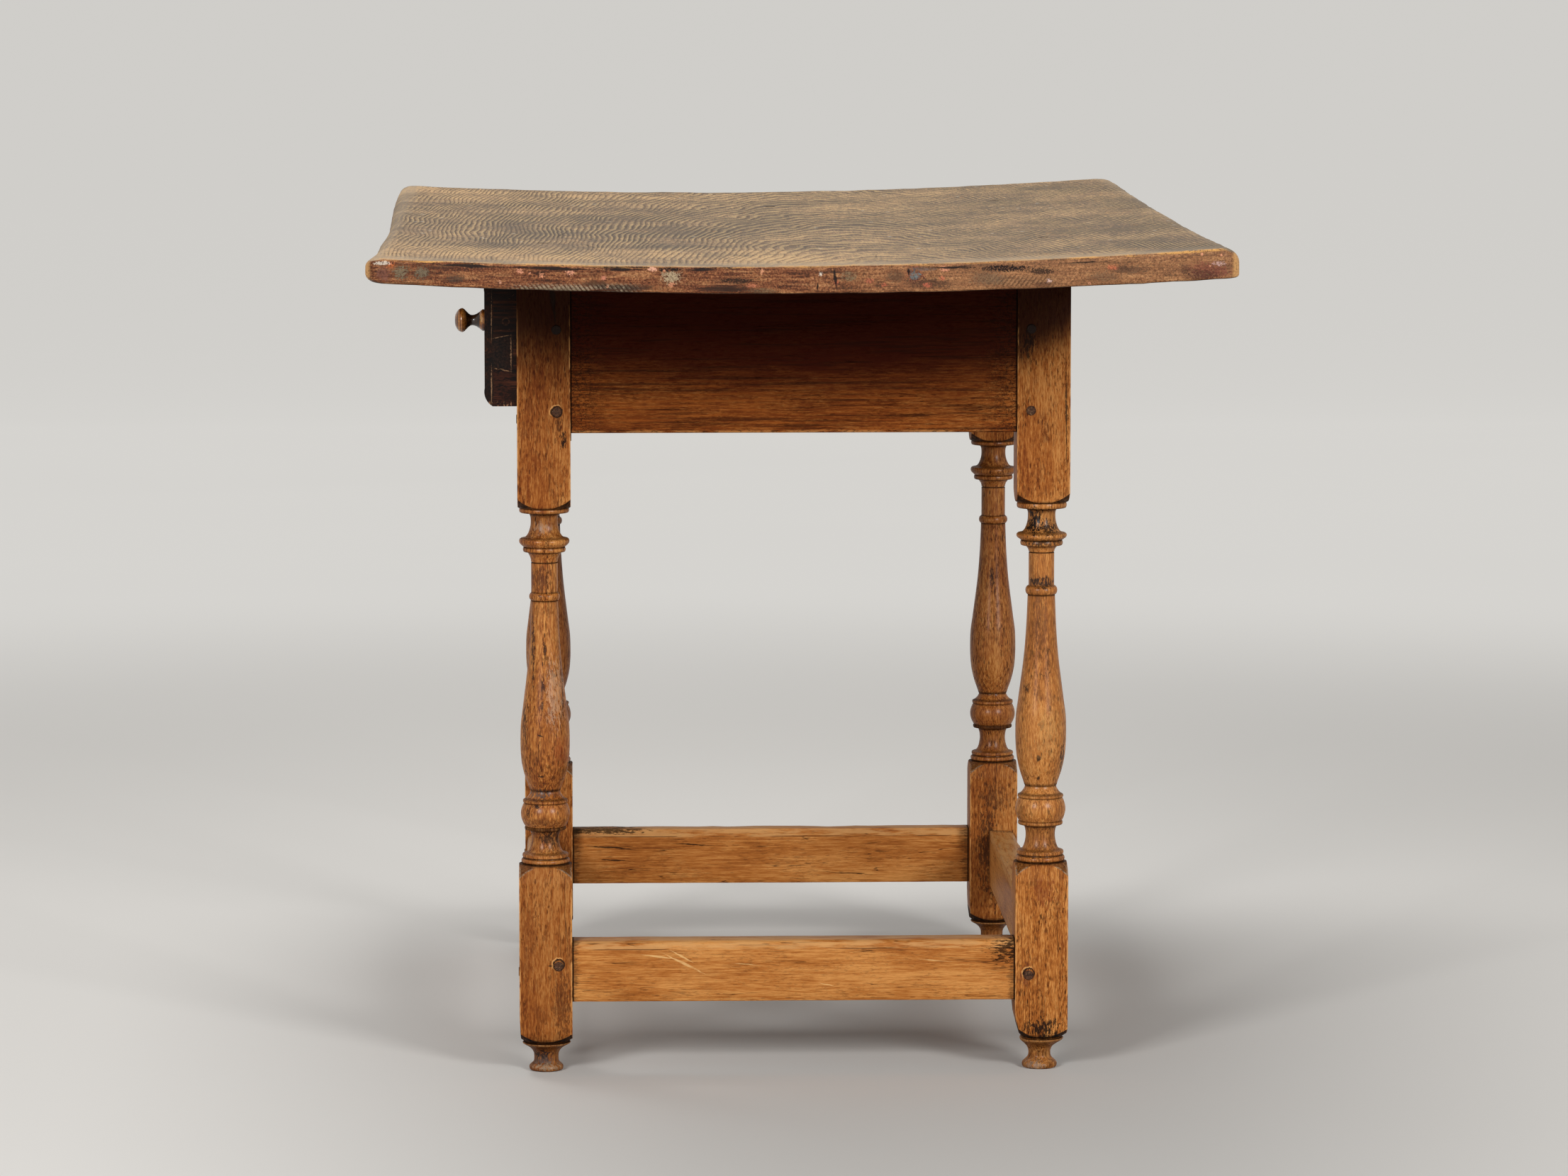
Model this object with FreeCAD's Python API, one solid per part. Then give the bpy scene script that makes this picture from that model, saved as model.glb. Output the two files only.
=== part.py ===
import FreeCAD, Part
import math
import os

# Tavern table: four turned legs, aprons and box stretchers pegged together, a long cupped
# board for a top, and one dovetailed drawer in the left side. Millimetres.
# +X runs across the table, +Y along it, +Z up. The origin is on the floor under the middle.

vec = FreeCAD.Vector

# Plan of the frame
leg_square = 46.5
leg_spacing_x = 434.5          # between leg centres, across the table
leg_spacing_y = 650.0          # between leg centres, along the table
block_arris = 1.6              # rounding of the legs' long corners

# Top board
frame_height = 702.5           # floor to the lowest line of the board's underside
top_left = 368.5               # middle of the frame to the left edge, at the back
top_right = 362.5              # and to the right edge
top_length = 1275.0
top_thickness = 23.0           # where its upper face is lowest; thicker to the right
cup_radius = 5900.0            # the board has cupped across its width to this radius
cup_middle = -22.0             # where across the width its underside is lowest
face_cup_radius = 5900.0       # the same for its upper face
face_cup_middle = -60.0
left_taper = 7.5               # how much each edge comes in towards the front
right_taper = 6.0
left_hollow = 9.5              # and how far in it lies halfway along
right_hollow = 7.5
front_corner_radius = 16.0     # corners seen from above
back_corner_radius = 21.0
end_arris = 3.0                # upper edge of the ends
left_lower_round = 7.0
left_round = 9.5               # upper edges of the long sides, worn round
right_round = 14.0
lower_arris = 2.0
top_pin_radius = 4.5           # wooden pins through the board
top_pin_depth = 34.0           # how far they enter the frame

# Leg, from the floor up: foot, square block, turned length, square block
pad_radius = 15.1
pad_height = 7.0
pad_round = 2.6
ankle_radius = 10.6
ankle_height = 17.4
foot_collar_radius = 21.3
foot_collar_height = 4.0
foot_shoulder_radius = 22.0    # where the block's rounded lower end meets the foot
foot_shoulder_height = 13.0
lower_block_height = 155.6
lower_shoulder_height = 16.0   # rounded upper end of the lower block
ring_radius = 21.3
ring_height = 5.4
ring_fillet_radius = 20.4
ring_fillet_height = 3.2
lower_cove_radius = 12.3       # waists of the two long coves
upper_cove_radius = 11.7
lower_cove_height = 23.4
plate_radius = 19.0            # thin plate between the cove and the ball
plate_height = 3.2
ball_radius = 21.7
ball_height = 21.6
lip_radius = 19.8              # sharp lip over the ball
lip_height = 2.4
neck_radius = 13.0
neck_height = 8.0
vase_foot_radius = 13.6
vase_radius = 21.9
vase_head_radius = 11.9
vase_height = 166.4
vase_belly_height = 44.0       # from the vase's foot to its widest place
bead_radius = 13.8
bead_height = 7.2
shaft_radius = 11.5
shaft_height = 28.4
groove_depth = 0.7
flare_height = 7.0
flare_radius = 15.0
disc_fillet_radius = 18.8
disc_fillet_height = 4.4
disc_radius = 22.0
disc_height = 7.2
upper_cove_height = 22.2
collar_radius = 21.8           # thin ring under the upper block
collar_height = 4.4
upper_shoulder_height = 13.0   # rounded lower end of the upper block

# Aprons, drawer rail and stretchers
apron_height = 139.0
apron_thickness = 22.0
apron_setback = 1.5            # behind the outer faces of the legs
rail_height = 19.5
rail_thickness = 25.0
stretcher_height = 54.0
stretcher_thickness = 25.5
stretcher_setback = 2.0
stretcher_rise = 35.1          # from the bottom of the leg's lower block
stretcher_worn_arris = 5.0     # upper edges, rounded by feet
board_arris = 1.2              # edges that are only eased
tenon_thickness = 9.0
tenon_gap = 1.25               # left between two tenons that meet in one leg
mortise_end_space = 0.5
apron_shoulder = 8.0           # above and below a tenon
stretcher_shoulder = 6.0
rail_shoulder = 2.5

# Pegs through the joints
peg_radius = 4.25
peg_inset = 12.0               # from the leg's inner face
peg_depth = 28.0
peg_stand = 0.8                # left proud of the leg
peg_low = 18.8                 # above the apron's bottom
peg_high = 90.0
stretcher_peg_offset = 5.0     # from the middle of the stretcher's height

# Drawer
drawer_open = 28.4             # it stands open by this much
drawer_side_clearance = 1.75
drawer_lift = 0.3              # running clearance over the runners
drawer_top_gap = 3.5
drawer_back_gap = 12.0
drawer_front_thickness = 25.0
drawer_lap = 7.7               # wood left in front of the half-blind dovetails
drawer_side_thickness = 12.0
drawer_back_thickness = 12.0
drawer_bottom_thickness = 5.0
face_round_depth = 7.0         # rounded upper and lower edges of the drawer's face
face_round_height = 16.0
pin_width = 24.5               # dovetail pin, at its narrow edge
pin_slope = 0.176              # widening of the pin along its depth
pin_drop = 13.5                # below the middle of the drawer side
knob_radius = 11.4
knob_neck_radius = 5.8
knob_base_radius = 10.6
knob_length = 31.5
knob_head_length = 13.0
knob_shank_radius = 5.0
knob_drop = 2.6                # below the middle of the drawer front

# Runners that carry the drawer and guides beside it
runner_width = 40.0
guide_height = 25.0
nail_radius = 1.5
nail_head_radius = 3.2
nail_head_height = 1.0
nail_bite = 12.0               # how far a nail enters the far piece
sprig_radius = 1.1             # small nails of the drawer bottom
sprig_length = 20.0
sprig_head_radius = 2.4
sprig_head_height = 0.8

# Worked out from the values above
half_square = leg_square / 2
clear_x = leg_spacing_x / 2 - half_square          # inner faces of the legs
clear_y = leg_spacing_y / 2 - half_square
outer_x = leg_spacing_x / 2 + half_square          # outer faces of the legs
outer_y = leg_spacing_y / 2 + half_square
foot_height = pad_height + ankle_height + foot_collar_height
apron_bottom = frame_height - apron_height
rail_top = apron_bottom + rail_height
stretcher_bottom = foot_height + stretcher_rise
stretcher_top = stretcher_bottom + stretcher_height
apron_inner_x = outer_x - apron_setback - apron_thickness
apron_inner_y = outer_y - apron_setback - apron_thickness


def box(x_range, y_range, z_range):
    (x0, x1), (y0, y1), (z0, z1) = sorted(x_range), sorted(y_range), sorted(z_range)
    return Part.makeBox(x1 - x0, y1 - y0, z1 - z0, vec(x0, y0, z0))


def rounded(shape, radius, chosen):
    edges = [edge for edge in shape.Edges if chosen(edge)]
    return shape.makeFillet(radius, edges) if edges else shape


def runs_along(edge, axis):
    # a straight edge parallel to one of the axes
    if not isinstance(edge.Curve, (Part.Line, Part.LineSegment)):
        return False
    ends = edge.Vertexes[1].Point - edge.Vertexes[0].Point
    return abs(ends.normalize().dot(axis)) > 0.999


def cut_all(shape, tools):
    tools = [tool for tool in tools if shape.BoundBox.intersect(tool.BoundBox)]
    return shape.cut(Part.makeCompound(tools)) if tools else shape


class Turning:
    # The outline of a turned piece, drawn upwards as radius and height, then spun round Z

    def __init__(self, radius, height):
        self.edges = []
        self.point = vec(radius, 0, height)

    def add(self, curve, end):
        self.edges.append(curve.toShape())
        self.point = end

    def line(self, radius, rise=0.0):
        end = vec(radius, 0, self.point.z + rise)
        if end.distanceToPoint(self.point) > 0.001:
            self.add(Part.LineSegment(self.point, end), end)

    def arc(self, middle_radius, radius, rise, middle=0.5):
        through = vec(middle_radius, 0, self.point.z + rise * middle)
        end = vec(radius, 0, self.point.z + rise)
        self.add(Part.Arc(self.point, through, end), end)

    def cap(self, height):
        # a shallow dome that closes on the axis
        radius = (self.point.x ** 2 + height ** 2) / (2 * height)
        half_angle = math.asin(self.point.x / radius) / 2
        drop = radius * (1 - math.cos(half_angle))
        self.arc(radius * math.sin(half_angle), 0.0, height, 1 - drop / height)

    def bead(self, radius, height):
        root = radius - height / 2
        self.line(root)
        self.arc(radius, root, height)

    def fillet(self, radius, height):
        self.line(radius)
        self.line(radius, height)

    def shoulder(self, radius, height):
        # the rounded end that a turner leaves where a square block begins or ends
        inner = min(radius, self.point.x)
        self.arc(inner + abs(radius - self.point.x) * 0.62, radius, height)

    def hollow(self, waist, end, height):
        # a waist that leaves its start gently and spreads at its end
        start = self.point.x
        self.curve([(start, 0), (waist + 0.33 * (start - waist), 0.2 * height),
                    (waist, 0.48 * height), (waist + 0.1 * (end - waist), 0.72 * height),
                    (waist + 0.42 * (end - waist), 0.92 * height), (end, height)])

    def trumpet(self, start, waist, height):
        # spreads widely at its foot and hardly at its head
        self.line(start)
        spread = start - waist
        self.curve([(start, 0), (waist + 0.36 * spread, 0.12 * height),
                    (waist + 0.12 * spread, 0.32 * height), (waist, 0.62 * height),
                    (waist + 0.05 * spread, 0.84 * height), (waist + 0.26 * spread, height)])

    def vase(self):
        head = vase_height - vase_belly_height
        self.curve([(vase_foot_radius, 0)]
                   + [(vase_foot_radius + share * (vase_radius - vase_foot_radius),
                       rise * vase_belly_height)
                      for share, rise in ((0.55, 0.28), (0.86, 0.56), (1.0, 1.0))]
                   + [(vase_head_radius + share * (vase_radius - vase_head_radius),
                       vase_belly_height + rise * head)
                      for share, rise in ((0.96, 0.12), (0.79, 0.23), (0.62, 0.34), (0.45, 0.45),
                                          (0.30, 0.56), (0.10, 0.79), (0.0, 1.0))])

    def curve(self, points):
        base = self.point.z
        places = [vec(radius, 0, base + rise) for radius, rise in points]
        spline = Part.BSplineCurve()
        spline.interpolate(places)
        self.add(spline, places[-1])

    def solid(self):
        self.line(0.0)
        bottom = self.edges[0].Vertexes[0].Point
        axis = Part.makeLine(self.point, vec(0, 0, bottom.z))
        edges = self.edges + [axis]
        if bottom.x > 0.001:
            edges.append(Part.makeLine(vec(0, 0, bottom.z), bottom))
        face = Part.Face(Part.Wire(Part.__sortEdges__(edges)))
        return face.revolve(vec(0, 0, 0), vec(0, 0, 1), 360)


# Top board and the cupped line it rests on

def cup_rise(x, middle, radius):
    return radius - math.sqrt(radius ** 2 - (x - middle) ** 2)


def cupped_slab(low, thickness, left, right, length):
    # a slab with the board's two cupped faces, each taken at its lowest line
    def arc(height, middle, radius):
        def point(x):
            return vec(x, -length / 2, height + cup_rise(x, middle, radius))
        return Part.Arc(point(-left), point(0), point(right)).toShape()

    under = arc(low, cup_middle, cup_radius)
    over = arc(low + thickness, face_cup_middle, face_cup_radius)
    sides = [Part.makeLine(under.Vertexes[i].Point, over.Vertexes[i].Point) for i in (0, 1)]
    section = Part.Face(Part.Wire(Part.__sortEdges__([under, over] + sides)))
    return section.extrude(vec(0, length, 0))


def edge_middle(edge):
    return edge.valueAt((edge.FirstParameter + edge.LastParameter) / 2)


def over_board_middle(edge):
    middle = edge_middle(edge)
    rises = (cup_rise(middle.x, cup_middle, cup_radius)
             + cup_rise(middle.x, face_cup_middle, face_cup_radius))
    return middle.z - frame_height - (top_thickness + rises) / 2


def board_outline():
    # seen from above: square ends, both sides hollow and fuller at the back
    front, back = -top_length / 2, top_length / 2
    left_front = vec(-top_left + left_taper, front, 0)
    left_back = vec(-top_left, back, 0)
    right_front, right_back = vec(top_right - right_taper, front, 0), vec(top_right, back, 0)
    left_side = Part.Arc(left_front, vec(-top_left + left_hollow, 0, 0), left_back)
    right_side = Part.Arc(right_front, vec(top_right - right_hollow, 0, 0), right_back)
    edges = [left_side.toShape(), Part.makeLine(left_back, right_back), right_side.toShape(),
             Part.makeLine(right_front, left_front)]
    return Part.Face(Part.Wire(Part.__sortEdges__(edges)))


def eased_edges(shape, radius_at):
    # rounds each edge that radius_at gives a radius for; a corner's radius runs from that of
    # the side it leaves to that of the end it meets
    document = FreeCAD.newDocument()
    base = document.addObject("Part::Feature")
    base.Shape = shape
    eased = document.addObject("Part::Fillet")
    eased.Base = base
    radii = []
    for number, edge in enumerate(shape.Edges, start=1):
        ends = radius_at(edge)
        if ends:
            radii.append((number, ends[0], ends[1]))
    eased.Edges = radii
    document.recompute()
    result = eased.Shape.copy()
    FreeCAD.closeDocument(document.Name)
    return result


def make_top_board():
    prism = board_outline().extrude(vec(0, 0, 3 * top_thickness))
    prism.translate(vec(0, 0, frame_height - top_thickness))
    for radius, way in ((front_corner_radius, -1), (back_corner_radius, 1)):
        prism = rounded(prism, radius, lambda edge: runs_along(edge, vec(0, 0, 1))
                        and edge.Vertexes[0].Y * way > 0.4 * top_length)
    slab = cupped_slab(frame_height, top_thickness, 1.2 * top_left, 1.2 * top_right,
                       1.2 * top_length)
    board = slab.common(prism)
    near_face = 0.35 * top_thickness

    def radius_at(edge):
        above = over_board_middle(edge)
        if abs(above) < near_face:
            return None
        middle = edge_middle(edge)
        if middle.x < 0:
            side = left_round if above > 0 else left_lower_round
        else:
            side = right_round if above > 0 else lower_arris
        end = end_arris if above > 0 else lower_arris
        along = abs(edge.tangentAt(edge.FirstParameter).y)
        if along > 0.99 and edge.Length > top_length / 2:
            return side, side
        if edge.Length > top_length / 4:
            return end, end
        return (side, end) if along > 0.7 else (end, side)

    return eased_edges(board, radius_at)


board_space = cupped_slab(frame_height, 2 * top_thickness, 1.5 * top_left, 1.5 * top_right,
                          top_length)
under_top_face = cupped_slab(frame_height - top_pin_depth * 2, top_pin_depth * 2 + top_thickness,
                             top_left, top_right, top_length)


# Legs

def make_leg_blank():
    corner = leg_square * 0.75                      # outside the block's corners
    turn = Turning(0.0, 0.0)
    turn.line(pad_radius - pad_round)
    turn.arc(pad_radius - 0.3 * pad_round, pad_radius, pad_round, 0.3)
    turn.line(pad_radius - 0.5, pad_height - pad_round)
    turn.hollow(ankle_radius, foot_collar_radius - 2.5, ankle_height)
    turn.line(foot_collar_radius - 1.2)
    turn.arc(foot_collar_radius, foot_collar_radius - 0.6, foot_collar_height)
    turn.line(foot_shoulder_radius)
    turn.shoulder(corner, foot_shoulder_height)
    turn.line(corner, lower_block_height - foot_shoulder_height - lower_shoulder_height)
    turn.shoulder(half_square, lower_shoulder_height)
    turn.bead(ring_radius, ring_height)
    turn.fillet(ring_fillet_radius, ring_fillet_height)
    turn.trumpet(ring_fillet_radius - 0.9, lower_cove_radius, lower_cove_height)
    turn.fillet(plate_radius, plate_height)
    turn.arc(ball_radius, plate_radius, ball_height)
    turn.fillet(lip_radius, lip_height)
    turn.line(lip_radius - 1.2)
    turn.arc(neck_radius + 0.9, neck_radius, neck_height, 0.4)
    turn.line(vase_foot_radius)
    turn.vase()
    turn.bead(bead_radius, bead_height)
    turn.line(shaft_radius)
    turn.line(shaft_radius, shaft_height - groove_depth)
    turn.line(shaft_radius - groove_depth)
    turn.line(shaft_radius - groove_depth, groove_depth)
    turn.line(shaft_radius)
    turn.arc(shaft_radius + 0.8, flare_radius, flare_height, 0.6)
    turn.fillet(disc_fillet_radius, disc_fillet_height)
    turn.line(disc_fillet_radius - 0.6)
    turn.arc(disc_radius, disc_radius - 1.5, disc_height, 0.62)
    turn.trumpet(disc_radius - 1.5, upper_cove_radius, upper_cove_height)
    turn.line(collar_radius - 1.2)
    turn.arc(collar_radius, collar_radius - 1.2, collar_height)
    turn.line(half_square)
    turn.shoulder(corner, upper_shoulder_height)
    turn.line(corner, frame_height + 3 * top_thickness - turn.point.z)
    turned = turn.solid()
    square = box((-half_square, half_square), (-half_square, half_square),
                 (0, frame_height + 2 * top_thickness))
    square = rounded(square, block_arris, lambda edge: runs_along(edge, vec(0, 0, 1)))
    return turned.common(square)


# Members between the legs. Each side is drawn as the front one, outer face towards -Y,
# and turned into place: front 0, right 90, back 180 and left 270 degrees.

side_turns = {"front": 0, "right": 90, "back": 180, "left": 270}


def side_spans(side):
    # half the clear length between the legs, and the distance out to their faces
    return (clear_x, outer_y) if side in ("front", "back") else (clear_y, outer_x)


def turned(shape, side):
    shape.rotate(vec(0, 0, 0), vec(0, 0, 1), side_turns[side])
    return shape


def tenon_length(setback, thickness):
    # it stops short of the tenon that comes in from the next side
    return leg_square - setback - (thickness + tenon_thickness) / 2 - tenon_gap


def make_member(side, bottom, top, thickness, setback, shoulder, upper_arris, tenons_only=False):
    clear, outer = side_spans(side)
    face = -outer + setback
    plane = face + thickness / 2
    reach = clear + tenon_length(setback, thickness)
    space = mortise_end_space if tenons_only else 0.0
    tenon = box((-reach - space, reach + space),
                (plane - tenon_thickness / 2, plane + tenon_thickness / 2),
                (bottom + shoulder, min(top, frame_height) - shoulder))
    if tenons_only:
        return turned(tenon, side)
    body = box((-clear, clear), (face, face + thickness), (bottom, top))
    middle = (bottom + top) / 2
    body = rounded(body, upper_arris, lambda edge: runs_along(edge, vec(1, 0, 0))
                   and edge.Vertexes[0].Z > middle)
    body = rounded(body, board_arris, lambda edge: runs_along(edge, vec(1, 0, 0))
                   and edge.Vertexes[0].Z < bottom + 0.01)
    return turned(body.fuse(tenon), side)


def make_peg(side, hand, height):
    clear, outer = side_spans(side)
    peg = Part.makeCylinder(peg_radius, peg_depth + peg_stand,
                            vec(hand * (clear + peg_inset), -outer - peg_stand, height),
                            vec(0, 1, 0))
    peg = peg.makeChamfer(peg_stand * 0.8, [edge for edge in peg.Edges
                                            if edge.BoundBox.YMax < -outer - peg_stand * 0.9])
    return turned(peg, side)


apron_top = frame_height + top_thickness                  # before the board's line is cut
members = {
    "apron_front": ("front", apron_bottom, apron_top, apron_thickness, apron_setback,
                    apron_shoulder, board_arris),
    "apron_back": ("back", apron_bottom, apron_top, apron_thickness, apron_setback,
                   apron_shoulder, board_arris),
    "apron_right": ("right", apron_bottom, apron_top, apron_thickness, apron_setback,
                    apron_shoulder, board_arris),
    "drawer_rail": ("left", apron_bottom, rail_top, rail_thickness, apron_setback,
                    rail_shoulder, board_arris),
}
for name in side_turns:
    members["stretcher_" + name] = (name, stretcher_bottom, stretcher_top, stretcher_thickness,
                                    stretcher_setback, stretcher_shoulder,
                                    stretcher_worn_arris)

# Pegs: two to an apron joint, one to a stretcher joint and one to a joint of the rail
pegs = {side: [] for side in side_turns}
for side in side_turns:
    if side == "left":
        joints = [apron_bottom + rail_height / 2]
    else:
        joints = [apron_bottom + peg_low, apron_bottom + peg_high]
    for hand in (-1, 1):
        for height in joints:
            pegs[side].append(make_peg(side, hand, height))
        middle = (stretcher_bottom + stretcher_top) / 2
        pegs[side].append(make_peg(side, hand, middle - hand * stretcher_peg_offset))

all_pegs = [peg for side in pegs for peg in pegs[side]]
mortises = [make_member(*values, tenons_only=True) for values in members.values()]

# Wooden pins through the board: one into each leg and one into each end apron
pin_places = [(sx * leg_spacing_x / 2, sy * leg_spacing_y / 2)
              for sx in (-1, 1) for sy in (-1, 1)]
pin_places += [(0, sy * (apron_inner_y + apron_thickness / 2)) for sy in (-1, 1)]
top_pins = []
for x, y in pin_places:
    pin = Part.makeCylinder(top_pin_radius, top_pin_depth + 3 * top_thickness,
                            vec(x, y, frame_height - top_pin_depth))
    top_pins.append(pin.common(under_top_face))

# Runners carry the drawer's sides, guides keep it straight; both are nailed to the aprons
runners = {}
nails = []
for name, way in (("front", -1), ("back", 1)):
    inner_face = way * apron_inner_y
    runner = box((-clear_x, clear_x), (inner_face - way * runner_width, inner_face),
                 (apron_bottom, rail_top))
    guide = box((-clear_x, clear_x), (way * clear_y, inner_face),
                (rail_top, rail_top + guide_height))
    for piece, height, start, spread in (
            (runner, (apron_bottom + rail_top) / 2, apron_inner_y - runner_width, (-0.8, 0, 0.8)),
            (guide, rail_top + guide_height / 2, clear_y, (-0.6, 0.6))):
        for share in spread:
            place = vec(share * clear_x, way * start, height)
            length = apron_inner_y + nail_bite - start
            shank = Part.makeCylinder(nail_radius, length, place, vec(0, way, 0))
            head = Part.makeCone(nail_head_radius, nail_radius, nail_head_height,
                                 place, vec(0, -way, 0))
            nails.append(shank.fuse(head))
    runners["drawer_runner_" + name] = cut_all(runner, nails)
    runners["drawer_guide_" + name] = cut_all(guide, nails)

# Drawer, drawn shut and then moved out by drawer_open
half_drawer = clear_y - drawer_side_clearance
drawer_bottom_z = rail_top + drawer_lift
drawer_top_z = frame_height - drawer_top_gap
side_bottom_z = drawer_bottom_z + drawer_bottom_thickness
face_x = -outer_x
lap_x = face_x + drawer_lap
front_inner_x = face_x + drawer_front_thickness
back_outer_x = apron_inner_x - drawer_back_gap
back_inner_x = back_outer_x - drawer_back_thickness
pin_z = (side_bottom_z + drawer_top_z) / 2 - pin_drop


def dovetail_pin(narrow_x, wide_x, half_span):
    # a prism through both drawer sides, wider towards the inside of the drawer
    spread = abs(wide_x - narrow_x) * pin_slope
    half = pin_width / 2
    corners = [vec(narrow_x, -half_span, pin_z - half), vec(narrow_x, -half_span, pin_z + half),
               vec(wide_x, -half_span, pin_z + half + spread),
               vec(wide_x, -half_span, pin_z - half - spread)]
    return Part.Face(Part.makePolygon(corners + corners[:1])).extrude(vec(0, 2 * half_span, 0))


def make_drawer_side(way):
    side = box((lap_x, back_outer_x),
               (way * half_drawer, way * (half_drawer - drawer_side_thickness)),
               (side_bottom_z, drawer_top_z))
    return side.cut(dovetail_pin(lap_x, front_inner_x, half_drawer)).cut(
        dovetail_pin(back_outer_x, back_inner_x, half_drawer))


def make_drawer_front(sides, bottom):
    low, high, y = drawer_bottom_z, drawer_top_z, -half_drawer
    curve = 0.293                                   # middle of a quarter round
    arcs = []
    for edge_z, way in ((low, 1), (high, -1)):
        arcs.append(Part.Arc(
            vec(face_x + face_round_depth, y, edge_z),
            vec(face_x + face_round_depth * curve, y, edge_z + way * face_round_height * curve),
            vec(face_x, y, edge_z + way * face_round_height)).toShape())
    lines = [(vec(face_x, y, low + face_round_height), vec(face_x, y, high - face_round_height)),
             (vec(face_x + face_round_depth, y, low), vec(front_inner_x, y, low)),
             (vec(front_inner_x, y, low), vec(front_inner_x, y, high)),
             (vec(front_inner_x, y, high), vec(face_x + face_round_depth, y, high))]
    edges = arcs + [Part.makeLine(*ends) for ends in lines]
    front = Part.Face(Part.Wire(Part.__sortEdges__(edges))).extrude(vec(0, 2 * half_drawer, 0))
    return cut_all(front, sides + [bottom])


def make_knob(place):
    turn = Turning(0.0, -drawer_front_thickness)
    turn.line(knob_shank_radius)
    turn.line(knob_shank_radius, drawer_front_thickness)
    turn.line(knob_base_radius)
    stem = knob_length - knob_head_length
    turn.arc(knob_neck_radius, knob_radius * 0.86, stem, 0.62)
    turn.arc(knob_radius, knob_radius * 0.62, knob_head_length * 0.86, 0.36)
    turn.cap(knob_head_length * 0.14)
    knob = turn.solid()
    knob.rotate(vec(0, 0, 0), vec(0, 1, 0), -90)      # its axis turns to -X
    knob.translate(place)
    return knob


drawer_bottom = box((lap_x, back_outer_x), (-half_drawer, half_drawer),
                    (drawer_bottom_z, side_bottom_z))
drawer_sides = [make_drawer_side(-1), make_drawer_side(1)]
drawer_front = make_drawer_front(drawer_sides, drawer_bottom)
drawer_back = cut_all(box((back_inner_x, back_outer_x), (-half_drawer, half_drawer),
                          (side_bottom_z, drawer_top_z)), drawer_sides)
knob = make_knob(vec(face_x, 0, (drawer_bottom_z + drawer_top_z) / 2 - knob_drop))

# Small nails hold the bottom up under the sides and the back
sprigs = []
side_row = half_drawer - drawer_side_thickness / 2
side_run = back_inner_x - front_inner_x
sprig_places = [(front_inner_x + side_run * share, way * side_row)
                for share in (0.05, 0.28, 0.5, 0.72, 0.95) for way in (-1, 1)]
sprig_places += [((back_inner_x + back_outer_x) / 2, side_row * share) for share in (-0.5, 0, 0.5)]
for x, y in sprig_places:
    shank = Part.makeCylinder(sprig_radius, sprig_length, vec(x, y, drawer_bottom_z))
    head = Part.makeCone(sprig_head_radius, sprig_radius, sprig_head_height,
                         vec(x, y, drawer_bottom_z))
    sprigs.append(shank.fuse(head))

drawer = {
    "drawer_front": drawer_front.cut(knob),
    "drawer_side_front": cut_all(drawer_sides[0], sprigs),
    "drawer_side_back": cut_all(drawer_sides[1], sprigs),
    "drawer_back": cut_all(drawer_back, sprigs),
    "drawer_bottom": cut_all(drawer_bottom, sprigs),
    "drawer_knob": knob,
    "drawer_nails": Part.makeCompound(sprigs),
}
for piece in drawer.values():
    piece.translate(vec(-drawer_open, 0, 0))

# The frame, with its joints cut
nodes = {"top_board": cut_all(make_top_board(), top_pins)}
blank = make_leg_blank()
for end, sy in (("front", -1), ("back", 1)):
    for hand, sx in (("left", -1), ("right", 1)):
        leg = blank.copy()
        leg.translate(vec(sx * leg_spacing_x / 2, sy * leg_spacing_y / 2, 0))
        nodes["leg_" + end + "_" + hand] = cut_all(leg, mortises + all_pegs + top_pins
                                                   + [board_space])
for name, values in members.items():
    member = make_member(*values)
    nodes[name] = cut_all(member, all_pegs + top_pins + nails + [board_space])
for side in side_turns:
    nodes["pegs_" + side] = Part.makeCompound(pegs[side])
nodes["top_pins"] = Part.makeCompound(top_pins)
nodes.update(runners)
nodes["runner_nails"] = Part.makeCompound(nails)
nodes.update(drawer)

os.makedirs("parts", exist_ok=True)
for name, shape in nodes.items():
    shape.exportStep(os.path.join("parts", name + ".step"))
    print(name, len(shape.Solids), "solids", round(shape.Volume / 1000), "cm3",
          "" if shape.isValid() else "not valid")
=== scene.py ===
import math

import bpy
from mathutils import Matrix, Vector


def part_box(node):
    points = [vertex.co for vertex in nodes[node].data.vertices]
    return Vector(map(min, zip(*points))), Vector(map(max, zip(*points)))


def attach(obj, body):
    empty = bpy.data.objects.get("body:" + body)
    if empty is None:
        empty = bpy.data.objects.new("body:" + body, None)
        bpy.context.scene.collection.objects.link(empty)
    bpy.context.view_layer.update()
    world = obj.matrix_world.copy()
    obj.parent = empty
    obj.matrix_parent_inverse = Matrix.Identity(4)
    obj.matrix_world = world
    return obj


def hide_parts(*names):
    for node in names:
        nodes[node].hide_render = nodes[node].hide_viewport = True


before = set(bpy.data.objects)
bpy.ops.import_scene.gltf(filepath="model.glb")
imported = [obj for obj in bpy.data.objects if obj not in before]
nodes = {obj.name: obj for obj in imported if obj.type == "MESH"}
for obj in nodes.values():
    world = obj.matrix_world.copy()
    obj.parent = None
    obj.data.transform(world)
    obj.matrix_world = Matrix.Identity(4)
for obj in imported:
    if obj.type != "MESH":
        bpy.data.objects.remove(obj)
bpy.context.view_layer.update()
print("frame:", len(nodes), "nodes")


def paint(colour):
    # a screen's colour (0 to 255), or a plain grey level (0 to 1), as the linear numbers of a shader
    if not isinstance(colour, (tuple, list)):
        return (colour,) * 3
    return tuple(value / 3294.6 if value < 10.3 else ((value / 255 + 0.055) / 1.055) ** 2.4
                 for value in colour)


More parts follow.
